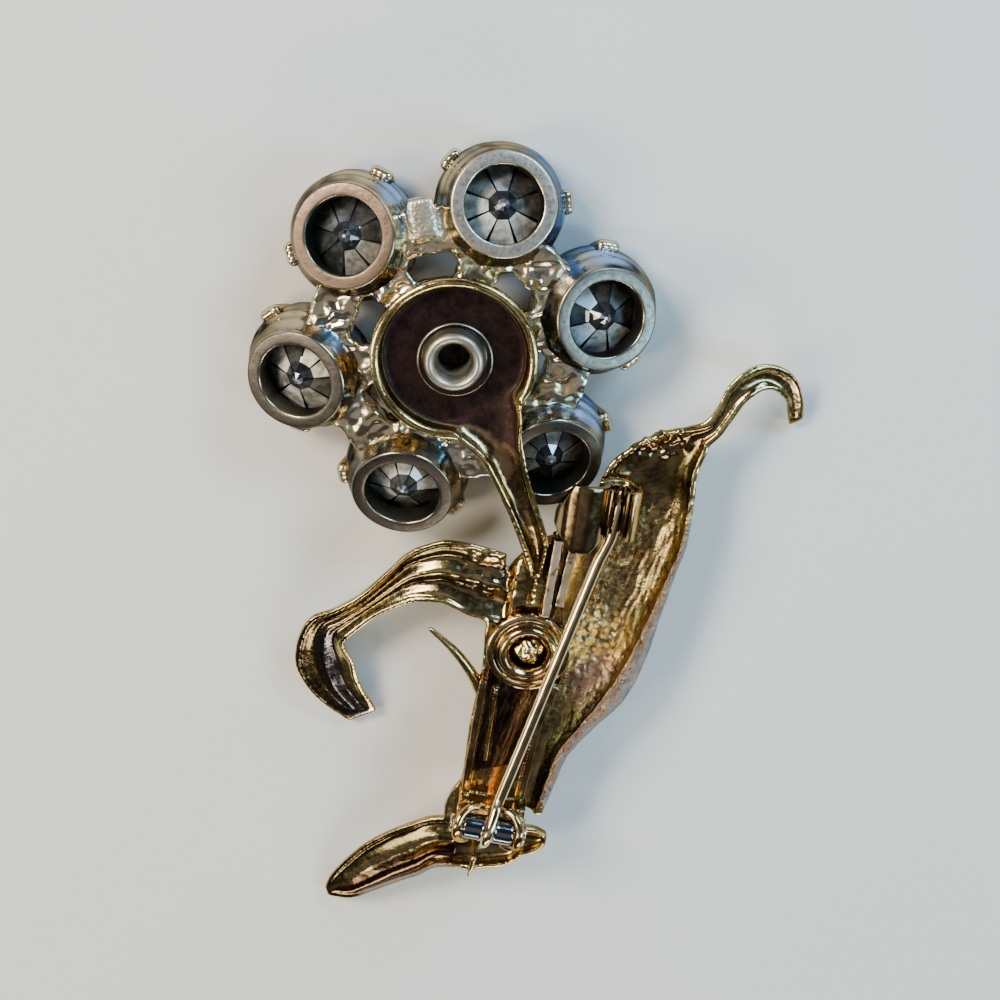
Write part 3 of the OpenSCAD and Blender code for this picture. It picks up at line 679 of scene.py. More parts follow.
# Where each cup's wall carries a painted blue reflection of the sky: its direction and spread in degrees
PAINTED_SKY_REFLECTION = [(48, 46), (20, 60), (82, 60), (62, 62), (40, 30), (55, 30)]
# How light each cup's ring is, a painted light and shade that differs from cup to cup, and how coppery it is
RING_PAINTED_LIGHT = (0.22, 0.85, 0.2, 0.15, 0.08, 0.13)
RING_COPPER = (0.75, 0.25, 0.1, 0.15, 0.2, 0.1)
# Directions of a cup's prongs from the line outwards, and the tab between the first two cups
PRONG_TURNS = (-130, -66, 66, 130)
TAB_FROM, TAB_TO, TAB_HALF = 8.6, 11.5, 1.02


def make_cup(i):
    """One open-backed cup: a spun wall with a flat ring at its back."""
    cup = revolve("cup_%d" % (i + 1), CUP_SECTION, 128)
    co = coords(cup.data)
    ang = np.arctan2(co[:, 1], co[:, 0])
    c, s, z = np.cos(ang), np.sin(ang), co[:, 2]
    r = np.linalg.norm(co[:, :2], axis=1)
    wobble = lumps(np.stack([c * 2.2, s * 2.2, z * 0.35], axis=1), 1.6, 2, 10.0 + i)
    fine = lumps(co, 0.7, 2, 20.0 + i)
    outside = step(r, 3.95, 4.15) * step(z, -0.9, -0.5) * step(z, 3.1, 2.7)
    dr = outside * (0.085 * wobble + 0.02 * fine) + 0.035 * step(z, 2.0, 3.3) * lumps(
        np.stack([c, s, 0 * ang], axis=1), 0.8, 1, 30.0 + i)
    co[:, 0] += c * dr
    co[:, 1] += s * dr
    set_coords(cup.data, co)
    z = coords(cup.data)[:, 2]
    cup.data.transform(petal_matrix(i))
    co = coords(cup.data)
    middle = petal_matrix(i).translation
    turn = np.degrees(np.arctan2(co[:, 1] - middle[1], co[:, 0] - middle[0]))
    toward, spread = PAINTED_SKY_REFLECTION[i]
    off = np.abs((turn - toward + 180) % 360 - 180)
    set_attributes(cup, face=step(z, 3.28, 3.36) * step(r, 2.93, 3.0),
                   # inner marks the ring's inner wall, which carries a painted shade
                   inner=step(r, 3.0, 2.9) * step(z, 3.35, 3.2), stipple=0,
                   # light is the ring's painted light and shade
                   light=RING_PAINTED_LIGHT[i], tint=RING_COPPER[i],
                   # sky is a painted blue reflection of the sky on the wall
                   sky=outside * step(off, spread, spread * 0.35) * step(wobble, -0.7, 0.1))
    return cup


def between(i):
    """Direction halfway from a petal to the next."""
    here, after = PETALS[i][0], PETALS[(i + 1) % 6][0]
    return here - ((here - after + 720) % 360) / 2


def flower_point(turn, reach, across, z):
    """Point this far out from the flower's middle and to the left of that line."""
    a = math.radians(turn)
    return (FLOWER[0] + reach * math.cos(a) - across * math.sin(a),
            FLOWER[1] + reach * math.sin(a) + across * math.cos(a), z)


def block(name, turn, r0, r1, w0, w1, z0, z1, sink=0.0):
    """Slab that runs outwards from the flower's middle and sinks on the way."""
    rings = []
    for k in range(9):
        t = k / 8
        r, w = r0 + (r1 - r0) * t, w0 + (w1 - w0) * t
        low, high = z0 - sink * t, z1 - sink * t
        ring = []
        for ang in circle(16):
            c, s = math.cos(ang), math.sin(ang)
            sq = max(abs(c), abs(s)) ** 0.7
            ring.append(flower_point(turn, r, w * c / sq, (low + high) / 2 + (high - low) / 2 * s / sq))
        rings.append(ring)
    return loft(name, rings)


def make_nubs():
    """Four prongs on each cup, each of three beads side by side."""
    nubs = []
    for i in range(6):
        m = petal_matrix(i)
        for turn in PRONG_TURNS:
            for off in (-0.09, 0.0, 0.09):
                a = math.radians(turn) + off
                high, low = CUP_R + 0.16, CUP_R - 0.28
                top = m @ Vector((high * math.cos(a), high * math.sin(a), 0.5))
                end = m @ Vector((low * math.cos(a), low * math.sin(a), -CUP_LIP - 0.3))
                nubs.append(capsule("nub", top, end, 0.52, 0.36, 16, 6))
    return nubs


def make_webs():
    """Plate, arms and solder between the cups, with the prongs."""
    parts = [revolve("plate", [(1.95, PLATE_TOP - 0.9), (5.5, PLATE_TOP - 0.9), (5.6, PLATE_TOP - 0.45),
                               (5.5, PLATE_TOP), (1.95, PLATE_TOP)], 64, (*FLOWER, 0)),
             block("tab", between(0), TAB_FROM, TAB_TO, TAB_HALF, TAB_HALF, GIRDLE_Z + 1.9, GIRDLE_Z + 3.0)]
    for i, (turn, _) in enumerate(PETALS):
        parts.append(block("arm", turn, 3.6, 8.6, 1.35, 1.9, PLATE_TOP - 1.0, PLATE_TOP - 0.05, 0.35))
        gap = between(i)
        parts.append(block("web", gap, 7.3, 10.7, 2.3, 1.9, GIRDLE_Z + 1.25, GIRDLE_Z + 2.85, 0.2))
        parts.append(block("bead", gap, 8.6, 9.8, 2.5, 2.5, GIRDLE_Z + 0.9, GIRDLE_Z + 2.3, 0.1))
        for side in (-1, 1):
            parts.append(capsule("solder", flower_point(turn, 7.2, side * 1.7, PLATE_TOP - 0.7),
                                 flower_point(turn + side * 17, 8.4, 0, PLATE_TOP - 0.9), 0.55, 0.6, 12, 4))
    body = remesh(join("webs_look", parts), 0.13)
    room = [(0.02, -3), (4.45, -3), (4.45, 0.35), (3.05, 1.5), (3.05, 5), (0.02, 5)]
    carve(body, [revolve("room", room, 64, matrix=petal_matrix(i)) for i in range(6)])
    remesh(body, 0.14)
    relax(body, 4)
    co, no = surface(body)
    near_cup = np.zeros(len(co))
    for i in range(6):
        m = np.array(petal_matrix(i).inverted())
        local = co @ m[:3, :3].T + m[:3, 3]
        near_cup = np.maximum(near_cup, step(np.linalg.norm(local[:, :2], axis=1), 3.1, 2.9))
    crease = 1 - np.abs(lumps(co, 1.7, 2, 41.0)) * 2.2
    push = (0.2 * crease - 0.08 + 0.03 * lumps(co, 0.5, 2, 42.0)) * (1 - near_cup)
    tab = np.array(flower_point(between(0), (TAB_FROM + TAB_TO) / 2, 0, 0))[:2]

    def from_tab():
        return np.abs(co[:, :2] - tab).max(1)

    on_tab = step(from_tab(), 1.8, 1.5) * step(co[:, 2], GIRDLE_Z + 2.3, GIRDLE_Z + 2.6)
    push = push * (1 - on_tab) + on_tab * 0.025 * lumps(co, 0.4, 2, 43.0)
    from_mid = np.linalg.norm(co[:, :2] - FLOWER, axis=1)
    is_web = step(from_mid, 5.0, 6.0) * step(co[:, 2], GIRDLE_Z + 0.4, GIRDLE_Z + 1.0)
    set_coords(body.data, co + no * (push * is_web)[:, None])
    body = join("webs_look", [body] + make_nubs())
    remesh(body, 0.12)
    relax(body, 3)
    thin_out(body, MOST["webs"])
    co = coords(body.data)
    set_attributes(body, face=0, inner=0, light=0, sky=0, tint=1, stipple=(
        step(from_tab(), 1.7, 1.45) * step(co[:, 2], GIRDLE_Z + 2.5, GIRDLE_Z + 2.8)))
    return body


# The stones

STONE_R, STONE_TABLE_R, STONE_EDGE, STONE_CROWN = 4.25, 2.5, 0.12, 1.2
# Where each stone catches the light: angle, spread, brightness and warmth of each patch of facets
GLINTS = [
    [(-55, 40, 0.55, 0.8), (-5, 20, 0.3, 0.3), (110, 40, 0.2, 0.0), (190, 30, 0.12, 0.0)],
    [(165, 34, 0.8, 0.8), (222, 26, 0.9, 0.5), (275, 22, 0.6, 0.7), (330, 26, 0.8, 0.9),
     (20, 20, 0.7, 0.8), (90, 20, 0.3, 0.3)],
    [(128, 24, 1.3, 0.1), (215, 30, 0.9, 0.0), (-60, 44, 0.6, 0.8), (265, 20, 0.5, 0.4),
     (30, 24, 0.25, 0.3)],
    [(200, 50, 0.7, 0.8), (320, 40, 0.55, 0.7), (90, 40, 0.45, 0.6)],
    [(75, 34, 0.9, 0.9), (130, 30, 0.75, 0.8), (0, 44, 0.6, 0.6), (200, 44, 0.5, 0.5),
     (275, 40, 0.4, 0.6)],
    [(60, 30, 1.2, 0.9), (10, 34, 0.8, 0.8), (250, 60, 0.7, 0.6), (150, 36, 0.5, 0.5)]]


def make_stone(i):
    """Cut stone with its point towards the back; each facet carries its own painted brightness, for the
    stone's reflections and shade.
    """
    rng = np.random.default_rng(100 + i)
    R, table_r, edge, crown = STONE_R, STONE_TABLE_R, STONE_EDGE, STONE_CROWN
    verts, faces, shade_of, warm_of = [], [], [], []

    def ring(r, z, angles):
        verts.extend((r * math.cos(a), r * math.sin(a), z) for a in angles)
        return list(range(len(verts) - len(angles), len(verts)))

    def facet(corners, value, warm=0.0):
        faces.append(corners)
        shade_of.append(value)
        warm_of.append(warm)

    sixteen, eight, half_eight = (
        [(k + first) * math.pi / n * 2 for k in range(n)] for n, first in ((16, 0), (8, 0), (8, 0.5)))
    slit = math.radians(2.6)
    split = [a + d for a in eight for d in (-slit, slit)]
    spin = rng.uniform(0, 45)

    def lit(deg):
        out, warm = 0.08 + 0.12 * rng.uniform(), 0.3
        for angle, spread, level, tone in GLINTS[i]:
            off = (deg + spin + PETALS[i][0] - angle + 180) % 360 - 180
            if level * math.exp(-(off / spread) ** 2) > out:
                out, warm = level * math.exp(-(off / spread) ** 2), tone
        return out * rng.uniform(0.85, 1.1), warm

    # Front: table, star facets and the bezel, each with a random painted reflection
    table = ring(table_r, -edge - crown, eight)
    mid = ring((table_r + R) / 2, -edge - crown * 0.55, half_eight)
    low = ring(R, -edge, sixteen)
    high = ring(R, edge, sixteen)
    facet(table[::-1], 0.45)
    for k in range(8):
        a, b, m = table[k], table[(k + 1) % 8], mid[k]
        facet([a, b, m], rng.uniform(0.1, 0.9))
        n = mid[(k + 1) % 8]
        facet([m, b, n, low[(2 * k + 2) % 16]], rng.uniform(0.05, 0.7))
        facet([m, low[(2 * k + 1) % 16], low[2 * k % 16]], rng.uniform(0.1, 0.8))
        facet([m, low[(2 * k + 2) % 16], low[(2 * k + 1) % 16]], rng.uniform(0.1, 0.8))
    for k in range(16):
        facet([low[k], low[(k + 1) % 16], high[(k + 1) % 16], high[k]], 0.3)
    # Back: broad wedges with painted reflections, with slits painted dark between them round a star painted
    # dark
    outer = ring(3.35, edge + 0.6, split)
    inner = ring(1.12, edge + 2.2, split)
    star = ring(0.48, edge + 2.78, half_eight)
    tip = ring(0.13, edge + 2.96, half_eight)
    for k in range(8):
        e, f = 2 * k + 1, (2 * k + 2) % 16
        value, warm = lit((k + 0.5) * 45)
        facet([outer[e], outer[f], inner[f], inner[e]], value, warm)
        facet([outer[f], outer[(f + 1) % 16], inner[(f + 1) % 16], inner[f]], 0.01)
        facet([inner[e], inner[f], star[k]], rng.uniform(0.02, 0.16), 0.1)
        n = (k + 1) % 8
        facet([inner[f], inner[(f + 1) % 16], star[n], star[k]], rng.uniform(0.0, 0.1), 0.1)
        facet([star[k], star[n], tip[n], tip[k]], rng.uniform(0.0, 0.25), 0.2)
        facet([high[2 * k], high[2 * k + 1], outer[e]], rng.uniform(0.05, 0.4))
        facet([high[2 * k + 1], high[(2 * k + 2) % 16], outer[f]], rng.uniform(0.05, 0.4))
        facet([high[2 * k + 1], outer[f], outer[e]], rng.uniform(0.05, 0.4))
        facet([high[2 * k], outer[e], outer[(e - 1) % 16]], 0.02)
    facet(tip, 0.5, 0.4)
    obj = new_object("stone_look_%d" % (i + 1), verts, faces)
    mesh = obj.data
    for name, values in (("facet", shade_of), ("warm", warm_of)):
        layer = mesh.attributes.new(name, "FLOAT", "FACE")
        layer.data.foreach_set("value", np.asarray(values, np.float32))
    turn_out(obj)
    mesh.transform(Matrix.Rotation(math.radians(spin), 4, "Z"))
    mesh.transform(petal_matrix(i))
    return obj


def turn_out(obj):
    """Turns each face of a closed convex piece outwards."""
    mesh = obj.data
    co = coords(mesh)
    mid = co.mean(0)
    edit = bmesh.new()
    edit.from_mesh(mesh)
    for f in edit.faces:
        if f.normal.dot(f.calc_center_median() - Vector(mid)) < 0:
            f.normal_flip()
    edit.to_mesh(mesh)
    edit.free()
    mesh.update()


# The rivet and the pin back

def make_rivet():
    """Tube rivet: a domed head in front, a squashed flange and a rolled lip at the back."""
    low = PLATE_TOP - 1.0
    top = HUB_FLOOR
    head = [(0.02, low - 2.2), (0.9, low - 2.12), (1.6, low - 1.9), (2.2, low - 1.5), (2.7, low - 1.0),
            (3.0, low - 0.4), (3.1, low - 0.08), (3.02, low), (1.9, low), (1.85, low + 0.1)]
    flange = [(1.85, top + 0.04), (2.76, top + 0.04), (2.84, top + 0.09), (2.86, top + 0.18),
              (2.82, top + 0.28), (2.72, top + 0.34), (2.62, top + 0.34), (2.54, top + 0.29),
              (2.44, top + 0.28), (2.35, top + 0.33)]
    lip = [(2.3, top + 0.45), (2.27, top + 0.9), (2.26, top + 1.25), (2.24, top + 1.45), (2.18, top + 1.64),
           (2.07, top + 1.78), (1.94, top + 1.86), (1.8, top + 1.87), (1.68, top + 1.82), (1.57, top + 1.71),
           (1.46, top + 1.54), (1.37, top + 1.32), (1.3, top + 1.1), (1.24, top + 0.95), (1.22, top + 0.8)]
    rivet = revolve("rivet_look", head + flange + lip + [(1.22, low + 0.1), (1.38, low), (0.02, low)],
                    128, (*HUB, 0))
    co = coords(rivet.data)
    r = np.linalg.norm(co[:, :2] - HUB, axis=1)
    # bore marks the inside of the tube, which carries a painted shade
    set_attributes(
        rivet, bore=step(r, 1.27, 1.22) * step(co[:, 2], top + 0.84, top + 0.7),
        flange=step(r, 2.27, 2.36) * step(r, 2.83, 2.74) * step(co[:, 2], top + 0.6, top + 0.4))
    squashed = step(r, 2.32, 2.6) * step(co[:, 2], low + 0.3, low + 0.8)
    co[:, :2] += squashed[:, None] * np.array([0.06, -0.24])
    set_coords(rivet.data, co)
    return rivet


def copy_node(name, new_name):
    """The CAD node's mesh in millimetres, in the drawing's frame, as a new object."""
    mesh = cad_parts[name].data
    mesh.calc_loop_triangles()
    verts, back = np.unique(np.round(coords(mesh) * 1000 + MID, 4), axis=0, return_inverse=True)
    back = back.ravel()
    faces = [[int(back[v]) for v in t.vertices] for t in mesh.loop_triangles]
    return new_object(new_name, verts, [f for f in faces if len(set(f)) == 3])


# Route of a rolled ear round the joint's cheek: place from the hinge and radius
EAR = [
    (1.45, -1.52, -0.35, 0.2), (1.95, -1.42, 0.0, 0.27), (2.4, -1.0, 0.4, 0.32), (2.55, -0.4, 0.75, 0.34),
    (2.55, 0.35, 0.85, 0.35), (2.35, 1.1, 0.5, 0.35), (1.8, 1.65, 0.05, 0.33), (1.15, 1.72, -0.25, 0.28)]
# Two worn stretches on the bar's raised edges
WORN = ([[3.5, -9.2], [4.5, -2.9]], [[4.6, -8.2], [5.7, -3.2]])


def make_back_bar():
    bar = copy_node("back_bar", "bar_look")
    turn = turned_at(HINGE, HINGE_TURN)
    ears = [tube("ear", [[*(turn @ Vector((side * x, y, z))), r] for x, y, z, r in EAR], 20, 5)
            for side in (-1, 1)]
    bar = join("bar_look", [bar] + ears)
    remesh(bar, 0.065)
    carve(bar, [at_catch(box("room", 2.3, 2.3, BAR_TOP + 0.05 - CATCH[2], 3.0))])
    relax(bar, 7)
    co, no = surface(bar)
    worn = sum(step(to_line(co, line), 0.7, 0.5) for line in WORN)
    push = 0.025 * lumps(co, 1.6, 2, 51.0) + np.clip(worn, 0, 1) * step(
        co[:, 2], BAR_TOP + 0.05, BAR_TOP + 0.3) * (0.09 * lumps(co, 1.1, 2, 52.0) - 0.02)
    set_coords(bar.data, co + no * push[:, None])
    thin_out(bar, MOST["bar"])
    return bar


def bar_looks(bar):
    """Attributes for the bright joint, the dim channel and the pale crests, which are partly wear and partly
    a painted highlight.
    """
    co, no = surface(bar)
    x, y, z = co.T
    joint = step(y - 0.2 * x, -22.7, -22.85)
    right_cheek = joint * step(x, 0.2, 1.2) * step(y, -25.0, -26.0)
    crest = step(z, BAR_TOP + 0.3, BAR_TOP + 0.5) * step(no[:, 2], 0.5, 0.8)
    set_attributes(
        bar, joint=joint * (1 - 0.8 * right_cheek) * (0.15 + 0.85 * step(x, 0.5, -0.2)),
        dim=step(z, BAR_TOP + 0.22, BAR_TOP + 0.04) * (1 - joint),
        pale=crest * (1 - joint) * step(y, -9.8, -8.6) * step(x, 7.4, 6.4))


def make_pin():
    """Wire with its point and tail, wrapped over the barrel, with the bore for the hinge rivet."""
    joint, bend, entry, end, point = PIN_PATH
    way = (bend - joint) / np.linalg.norm(bend - joint)
    rows = [(joint - way * 1.9, 0.15), (joint - way * 0.9, 0.36), (joint, PIN_R)]
    rows += [(joint + (bend - joint) * k / 20, PIN_R) for k in range(1, 20)]
    rows += [(bend + (entry - bend) * 0.1, PIN_R), ((bend + entry) / 2, PIN_R),
             (entry + [-0.05, 0.05, 0], PIN_R), ((entry + end) / 2, PIN_R), (end, PIN_R * 0.95),
             ((end + point) / 2, 0.3), (point, 0.1)]
    wire = tube("wire", [[*at, r] for at, r in rows], 24, 3)
    over = [(3.2, 8.62, 0.42), (2.2, 8.78, 0.44), (1.3, 9.25, 0.44), (0.5, 9.6, 0.44), (-0.1, 9.68, 0.44),
            (-0.7, 9.5, 0.43), (-1.15, 9.05, 0.4), (-1.35, 8.6, 0.34)]
    wrap = tube("wrap", [[*(joint + way * at)[:2], z, r] for at, z, r in over], 20, 4)
    half = 2.05
    m = turned_at(HINGE, HINGE_TURN) @ Matrix.Rotation(math.radians(90), 4, "Y")
    barrel = revolve("barrel", [(0.56, -half), (0.95, -half), (1.05, -half + 0.1), (1.05, half - 0.1),
                                (0.95, half), (0.56, half)], 64, matrix=m)
    bore = revolve("bore", [(0.01, -3), (0.55, -3), (0.55, 3), (0.01, 3)], 48, matrix=m)
    body = join("pin_look", [wire, barrel, wrap])
    remesh(body, 0.08)
    carve(body, [bore])
    remesh(body, 0.075)
    relax(body, 2)
    thin_out(body, MOST["pin"])
    co = coords(body.data)
    off_wire = step(to_line(co, [HINGE - [1.02, 2.82, 0], HINGE + [1.36, 3.76, 0]]), 0.42, 0.56)
    set_attributes(body, steel=off_wire * step(np.linalg.norm(co - HINGE, axis=1), 2.7, 2.2))
    return body


def tube_wall(name, inner, outer, first, last, length, around):
    """Part of a tube along Y, between two angles counted from +X towards +Z."""
    turns = np.radians(np.linspace(first, last, around))
    section = [(outer * math.cos(a), outer * math.sin(a)) for a in turns]
    section += [(inner * math.cos(a), inner * math.sin(a)) for a in turns[::-1]]
    rings = [[(x, y, z) for x, z in section] for y in (-length / 2, length / 2)]
    n = len(section)
    verts = [v for ring in rings for v in ring]
    faces = [[j, (j + 1) % n, n + (j + 1) % n, n + j] for j in range(n)]
    faces += [list(range(n))[::-1], list(range(n, 2 * n))]
    obj = new_object(name, verts, faces)
    fix_normals(obj)
    return obj


def at_catch(obj):
    obj.data.transform(turned_at(CATCH, CATCH_TURN))
    return obj


def make_housing():
    """The catch's housing: an open tube on a foot."""
    wall = tube_wall("housing_look", CATCH_R - 0.5, CATCH_R, -160, 50, 4.0, 48)
    bevel(wall, 0.1)
    bar_level = BAR_Z - CATCH[2]
    foot = box("foot", 0.9, 1.95, bar_level + 0.2, bar_level + 1.3)
    bevel(foot, 0.12)
    housing = at_catch(join("housing_look", [wall, foot]))
    set_attributes(housing, joint=0, dim=0, pale=0)
    return housing


def between_lines(x, outline):
    """Lowest and highest y of a closed outline at x."""
    hits = []
    for (x0, y0), (x1, y1) in zip(outline, outline[1:] + outline[:1]):
        if min(x0, x1) <= x <= max(x0, x1) and x0 != x1:
            hits.append(y0 + (y1 - y0) * (x - x0) / (x1 - x0))
    return min(hits), max(hits)


def make_lever():
    """The turning sleeve, slotted for the wire, with its arched thumb plate."""
    outer = CATCH_R - 0.58
    left = math.degrees(math.acos(-SLOT[0] / outer))
    right = math.degrees(math.acos(SLOT[1] / outer))
    sleeve = tube_wall("lever_look", 0.7, outer, left, 360 + right, 3.7, 64)
    bevel(sleeve, 0.07)
    bend, sheet, mid_x, mid_z = 2.0, 0.45, -2.65, -0.3
    rings = []
    for turn in np.radians(np.linspace(4, 176, 60)):
        ring = []
        for r, order in ((bend, 1), (bend - sheet, -1)):
            x = mid_x + r * math.cos(turn)
            low, high = between_lines(x, TAB)
            z = mid_z + r * math.sin(turn)
            ring += [(x, low + (high - low) * t, z) for t in np.linspace(0, 1, 12)][::order]
        rings.append(ring)
    plate = loft("plate", rings)
    bevel(plate, 0.1)
    return at_catch(join("lever_look", [sleeve, plate]))


def make_hinge_rivet():
    riv = copy_node("hinge_rivet", "hinge_rivet_look")
    remesh(riv, 0.06)
    relax(riv, 2)
    thin_out(riv, MOST["rivet"])
    return riv


# Materials

# Colour of a gold plate's reflection at a grazing angle
GOLD_EDGE = (0.6, 0.45, 0.24)


class Nodes:
    """Short names for building a material's nodes."""

    def __init__(self, name):
        self.mat = bpy.data.materials.new(name)
        self.mat.use_nodes = True
        self.tree = self.mat.node_tree
        self.tree.nodes.clear()
        self.out = self.add("ShaderNodeOutputMaterial")
        self.shader = self.add("ShaderNodeBsdfPrincipled")
        self.tree.links.new(self.shader.outputs[0], self.out.inputs[0])
        self.where = self.add("ShaderNodeTexCoord").outputs["Object"]

    def add(self, kind, **values):
        n = self.tree.nodes.new(kind)
        for k, v in values.items():
            setattr(n, k, v)
        return n

    def put(self, socket, value):
        if isinstance(value, bpy.types.NodeSocket):
            self.tree.links.new(value, socket)
        elif isinstance(value, (tuple, list)) and len(value) == 3 and socket.type == "RGBA":
            socket.default_value = (*value, 1)
        else:
            socket.default_value = value

    def attrs(self, *names):
        return [self.add("ShaderNodeAttribute", attribute_name=name).outputs["Fac"] for name in names]

    def noise(self, size_mm, detail=3, rough=0.5, stretch=None):
        """Noise in lumps of a size; stretch is how many times longer along a direction in degrees."""
        n = self.add("ShaderNodeTexNoise")
        where = self.where
        if stretch:
            m = self.add("ShaderNodeMapping", vector_type="TEXTURE")
            self.put(m.inputs["Vector"], where)
            m.inputs["Rotation"].default_value = (0, 0, math.radians(stretch[1]))
            m.inputs["Scale"].default_value = (1, stretch[0], 1)
            where = m.outputs[0]
        self.put(n.inputs["Vector"], where)
        n.inputs["Scale"].default_value = 1000.0 / size_mm
        n.inputs["Detail"].default_value = detail
        n.inputs["Roughness"].default_value = rough
        return n.outputs["Fac"]

    def cells(self, size_mm):
        n = self.add("ShaderNodeTexVoronoi")
        self.put(n.inputs["Vector"], self.where)
        n.inputs["Scale"].default_value = 1000.0 / size_mm
        return n.outputs["Distance"]

    def ramp(self, fac, low, high, a=0, b=1):
        """From a, where fac is low, smoothly to b, where it is high."""
        n = self.add("ShaderNodeMapRange", interpolation_type="SMOOTHSTEP")
        self.put(n.inputs["Value"], fac)
        n.inputs["From Min"].default_value = low
        n.inputs["From Max"].default_value = high
        n.inputs["To Min"].default_value = a
        n.inputs["To Max"].default_value = b
        return n.outputs[0]

    def math(self, op, a, b):
        n = self.add("ShaderNodeMath", operation=op)
        self.put(n.inputs[0], a)
        self.put(n.inputs[1], b)
        return n.outputs[0]

    def times(self, a, b):
        return self.math("MULTIPLY", a, b)

    def mix(self, fac, a, b):
        n = self.add("ShaderNodeMix", data_type="RGBA")
        self.put(n.inputs[0], fac)
        self.put(n.inputs[6], a)
        self.put(n.inputs[7], b)
        return n.outputs[2]

    def grade(self, fac, low, high, a, b):
        """From colour a, where fac is low, smoothly to colour b, where it is high."""
        return self.mix(self.ramp(fac, low, high), a, b)

    def blend(self, fac, a, b):
        n = self.add("ShaderNodeMix", data_type="FLOAT")
        self.put(n.inputs[0], fac)
        self.put(n.inputs[2], a)
        self.put(n.inputs[3], b)
        return n.outputs[0]

    def bump(self, height, distance_mm, strength, normal=None):
        n = self.add("ShaderNodeBump")
        n.inputs["Strength"].default_value = strength
        n.inputs["Distance"].default_value = distance_mm / 1000.0
        self.put(n.inputs["Height"], height)
        if normal is not None:
            self.put(n.inputs["Normal"], normal)
        return n.outputs[0]

    def done(self, **values):
        """The material, with these values or colours on its shader."""
        for k, v in values.items():
            self.put(self.shader.inputs[k.replace("_", " ")], v)
        return self.mat


def casting_material():
    n = Nodes("worn_gold_casting")
    plum, wear, deep, inside = n.attrs("plum", "wear", "deep", "inside")
    crystal, channel, bright, pink = n.attrs("crystal", "channel", "bright", "pink")
    red, olive, slate, edge = n.attrs("red", "olive", "slate", "edge")
    patches = n.noise(2.6, 4, 0.6)
    fine = n.noise(0.35, 4, 0.6)
    streaks = n.noise(0.4, 3, 0.6, stretch=(5, -20))
    gold = n.grade(patches, 0.36, 0.66, (0.62, 0.5, 0.23), (0.29, 0.215, 0.1))
    gold = n.mix(n.ramp(fine, 0.58, 0.75, 0, 0.35), gold, (0.9, 0.75, 0.42))
    # Painted shade: darker towards the deepest parts of the hollows
    dark = n.times(n.ramp(deep, 0.15, 0.8, 0, 0.85), n.ramp(patches, 0.25, 0.6, 0.7, 1.0))
    color = n.mix(dark, gold, (0.15, 0.1, 0.055))
    color = n.mix(n.times(inside, n.ramp(streaks, 0.42, 0.62, 0, 0.7)), color, (0.62, 0.46, 0.2))
    for share, strength, paint in ((channel, 0.7, (0.2, 0.11, 0.06)), (red, 0.85, (0.07, 0.032, 0.024)),
                                   (olive, 0.8, (0.09, 0.07, 0.035)), (slate, 0.85, (0.07, 0.075, 0.1))):
        color = n.mix(n.times(share, strength), color, paint)
    grain = n.ramp(n.cells(0.55), 0.28, 0.6, 1, 0)
    grain = n.times(crystal, grain)
    color = n.mix(grain, color, (1.0, 0.55, 0.1))
    color = n.mix(n.times(pink, n.ramp(fine, 0.35, 0.6, 0.4, 1.0)), color, (0.62, 0.36, 0.3))
    # Bright yellow metal on the peg and a clump, and painted highlights on the patch by the stem and on the
    # bottom leaf's crest
    color = n.mix(n.times(bright, 0.85), color, (0.95, 0.76, 0.34))
    reach = n.math("ADD", edge, n.times(n.noise(1.1, 4, 0.6), 0.9))
    chalk = n.times(wear, n.ramp(reach, 0.75, 1.1, 1.0, 0.05))
    color = n.mix(n.times(wear, 0.75), color, (0.2, 0.105, 0.085))
    color = n.mix(chalk, color, (0.2, 0.175, 0.165))
    purple = n.grade(n.noise(1.3, 4, 0.6), 0.3, 0.7, (0.006, 0.003, 0.004), (0.02, 0.009, 0.011))
    worn = n.times(plum, n.ramp(n.noise(0.9, 5, 0.7), 0.68, 0.76, 1.0, 0.5))
    color = n.mix(worn, color, purple)
    rough = n.blend(inside, n.ramp(fine, 0.3, 0.7, 0.12, 0.24), n.ramp(fine, 0.3, 0.7, 0.16, 0.34))
    rough = n.blend(crystal, rough, 0.38)
    rough = n.blend(worn, n.blend(chalk, rough, 0.5), n.ramp(fine, 0.3, 0.7, 0.34, 0.6))
    metal = n.blend(worn, n.blend(chalk, n.blend(grain, 1.0, 0.4), 0.6), 0.6)
    b = n.bump(n.noise(1.1, 3, 0.5), 0.05, 0.6)
    b = n.bump(n.times(n.noise(0.28, 3, 0.6), n.blend(inside, 0.3, 1.0)), 0.05, 0.7, b)
    b = n.bump(n.times(streaks, inside), 0.05, 0.6, b)
    b = n.bump(n.times(n.noise(0.45, 4, 0.65), wear), 0.2, 0.9, b)
    return n.done(Base_Color=color, Metallic=metal, Roughness=rough, Normal=b, Specular_Tint=GOLD_EDGE)


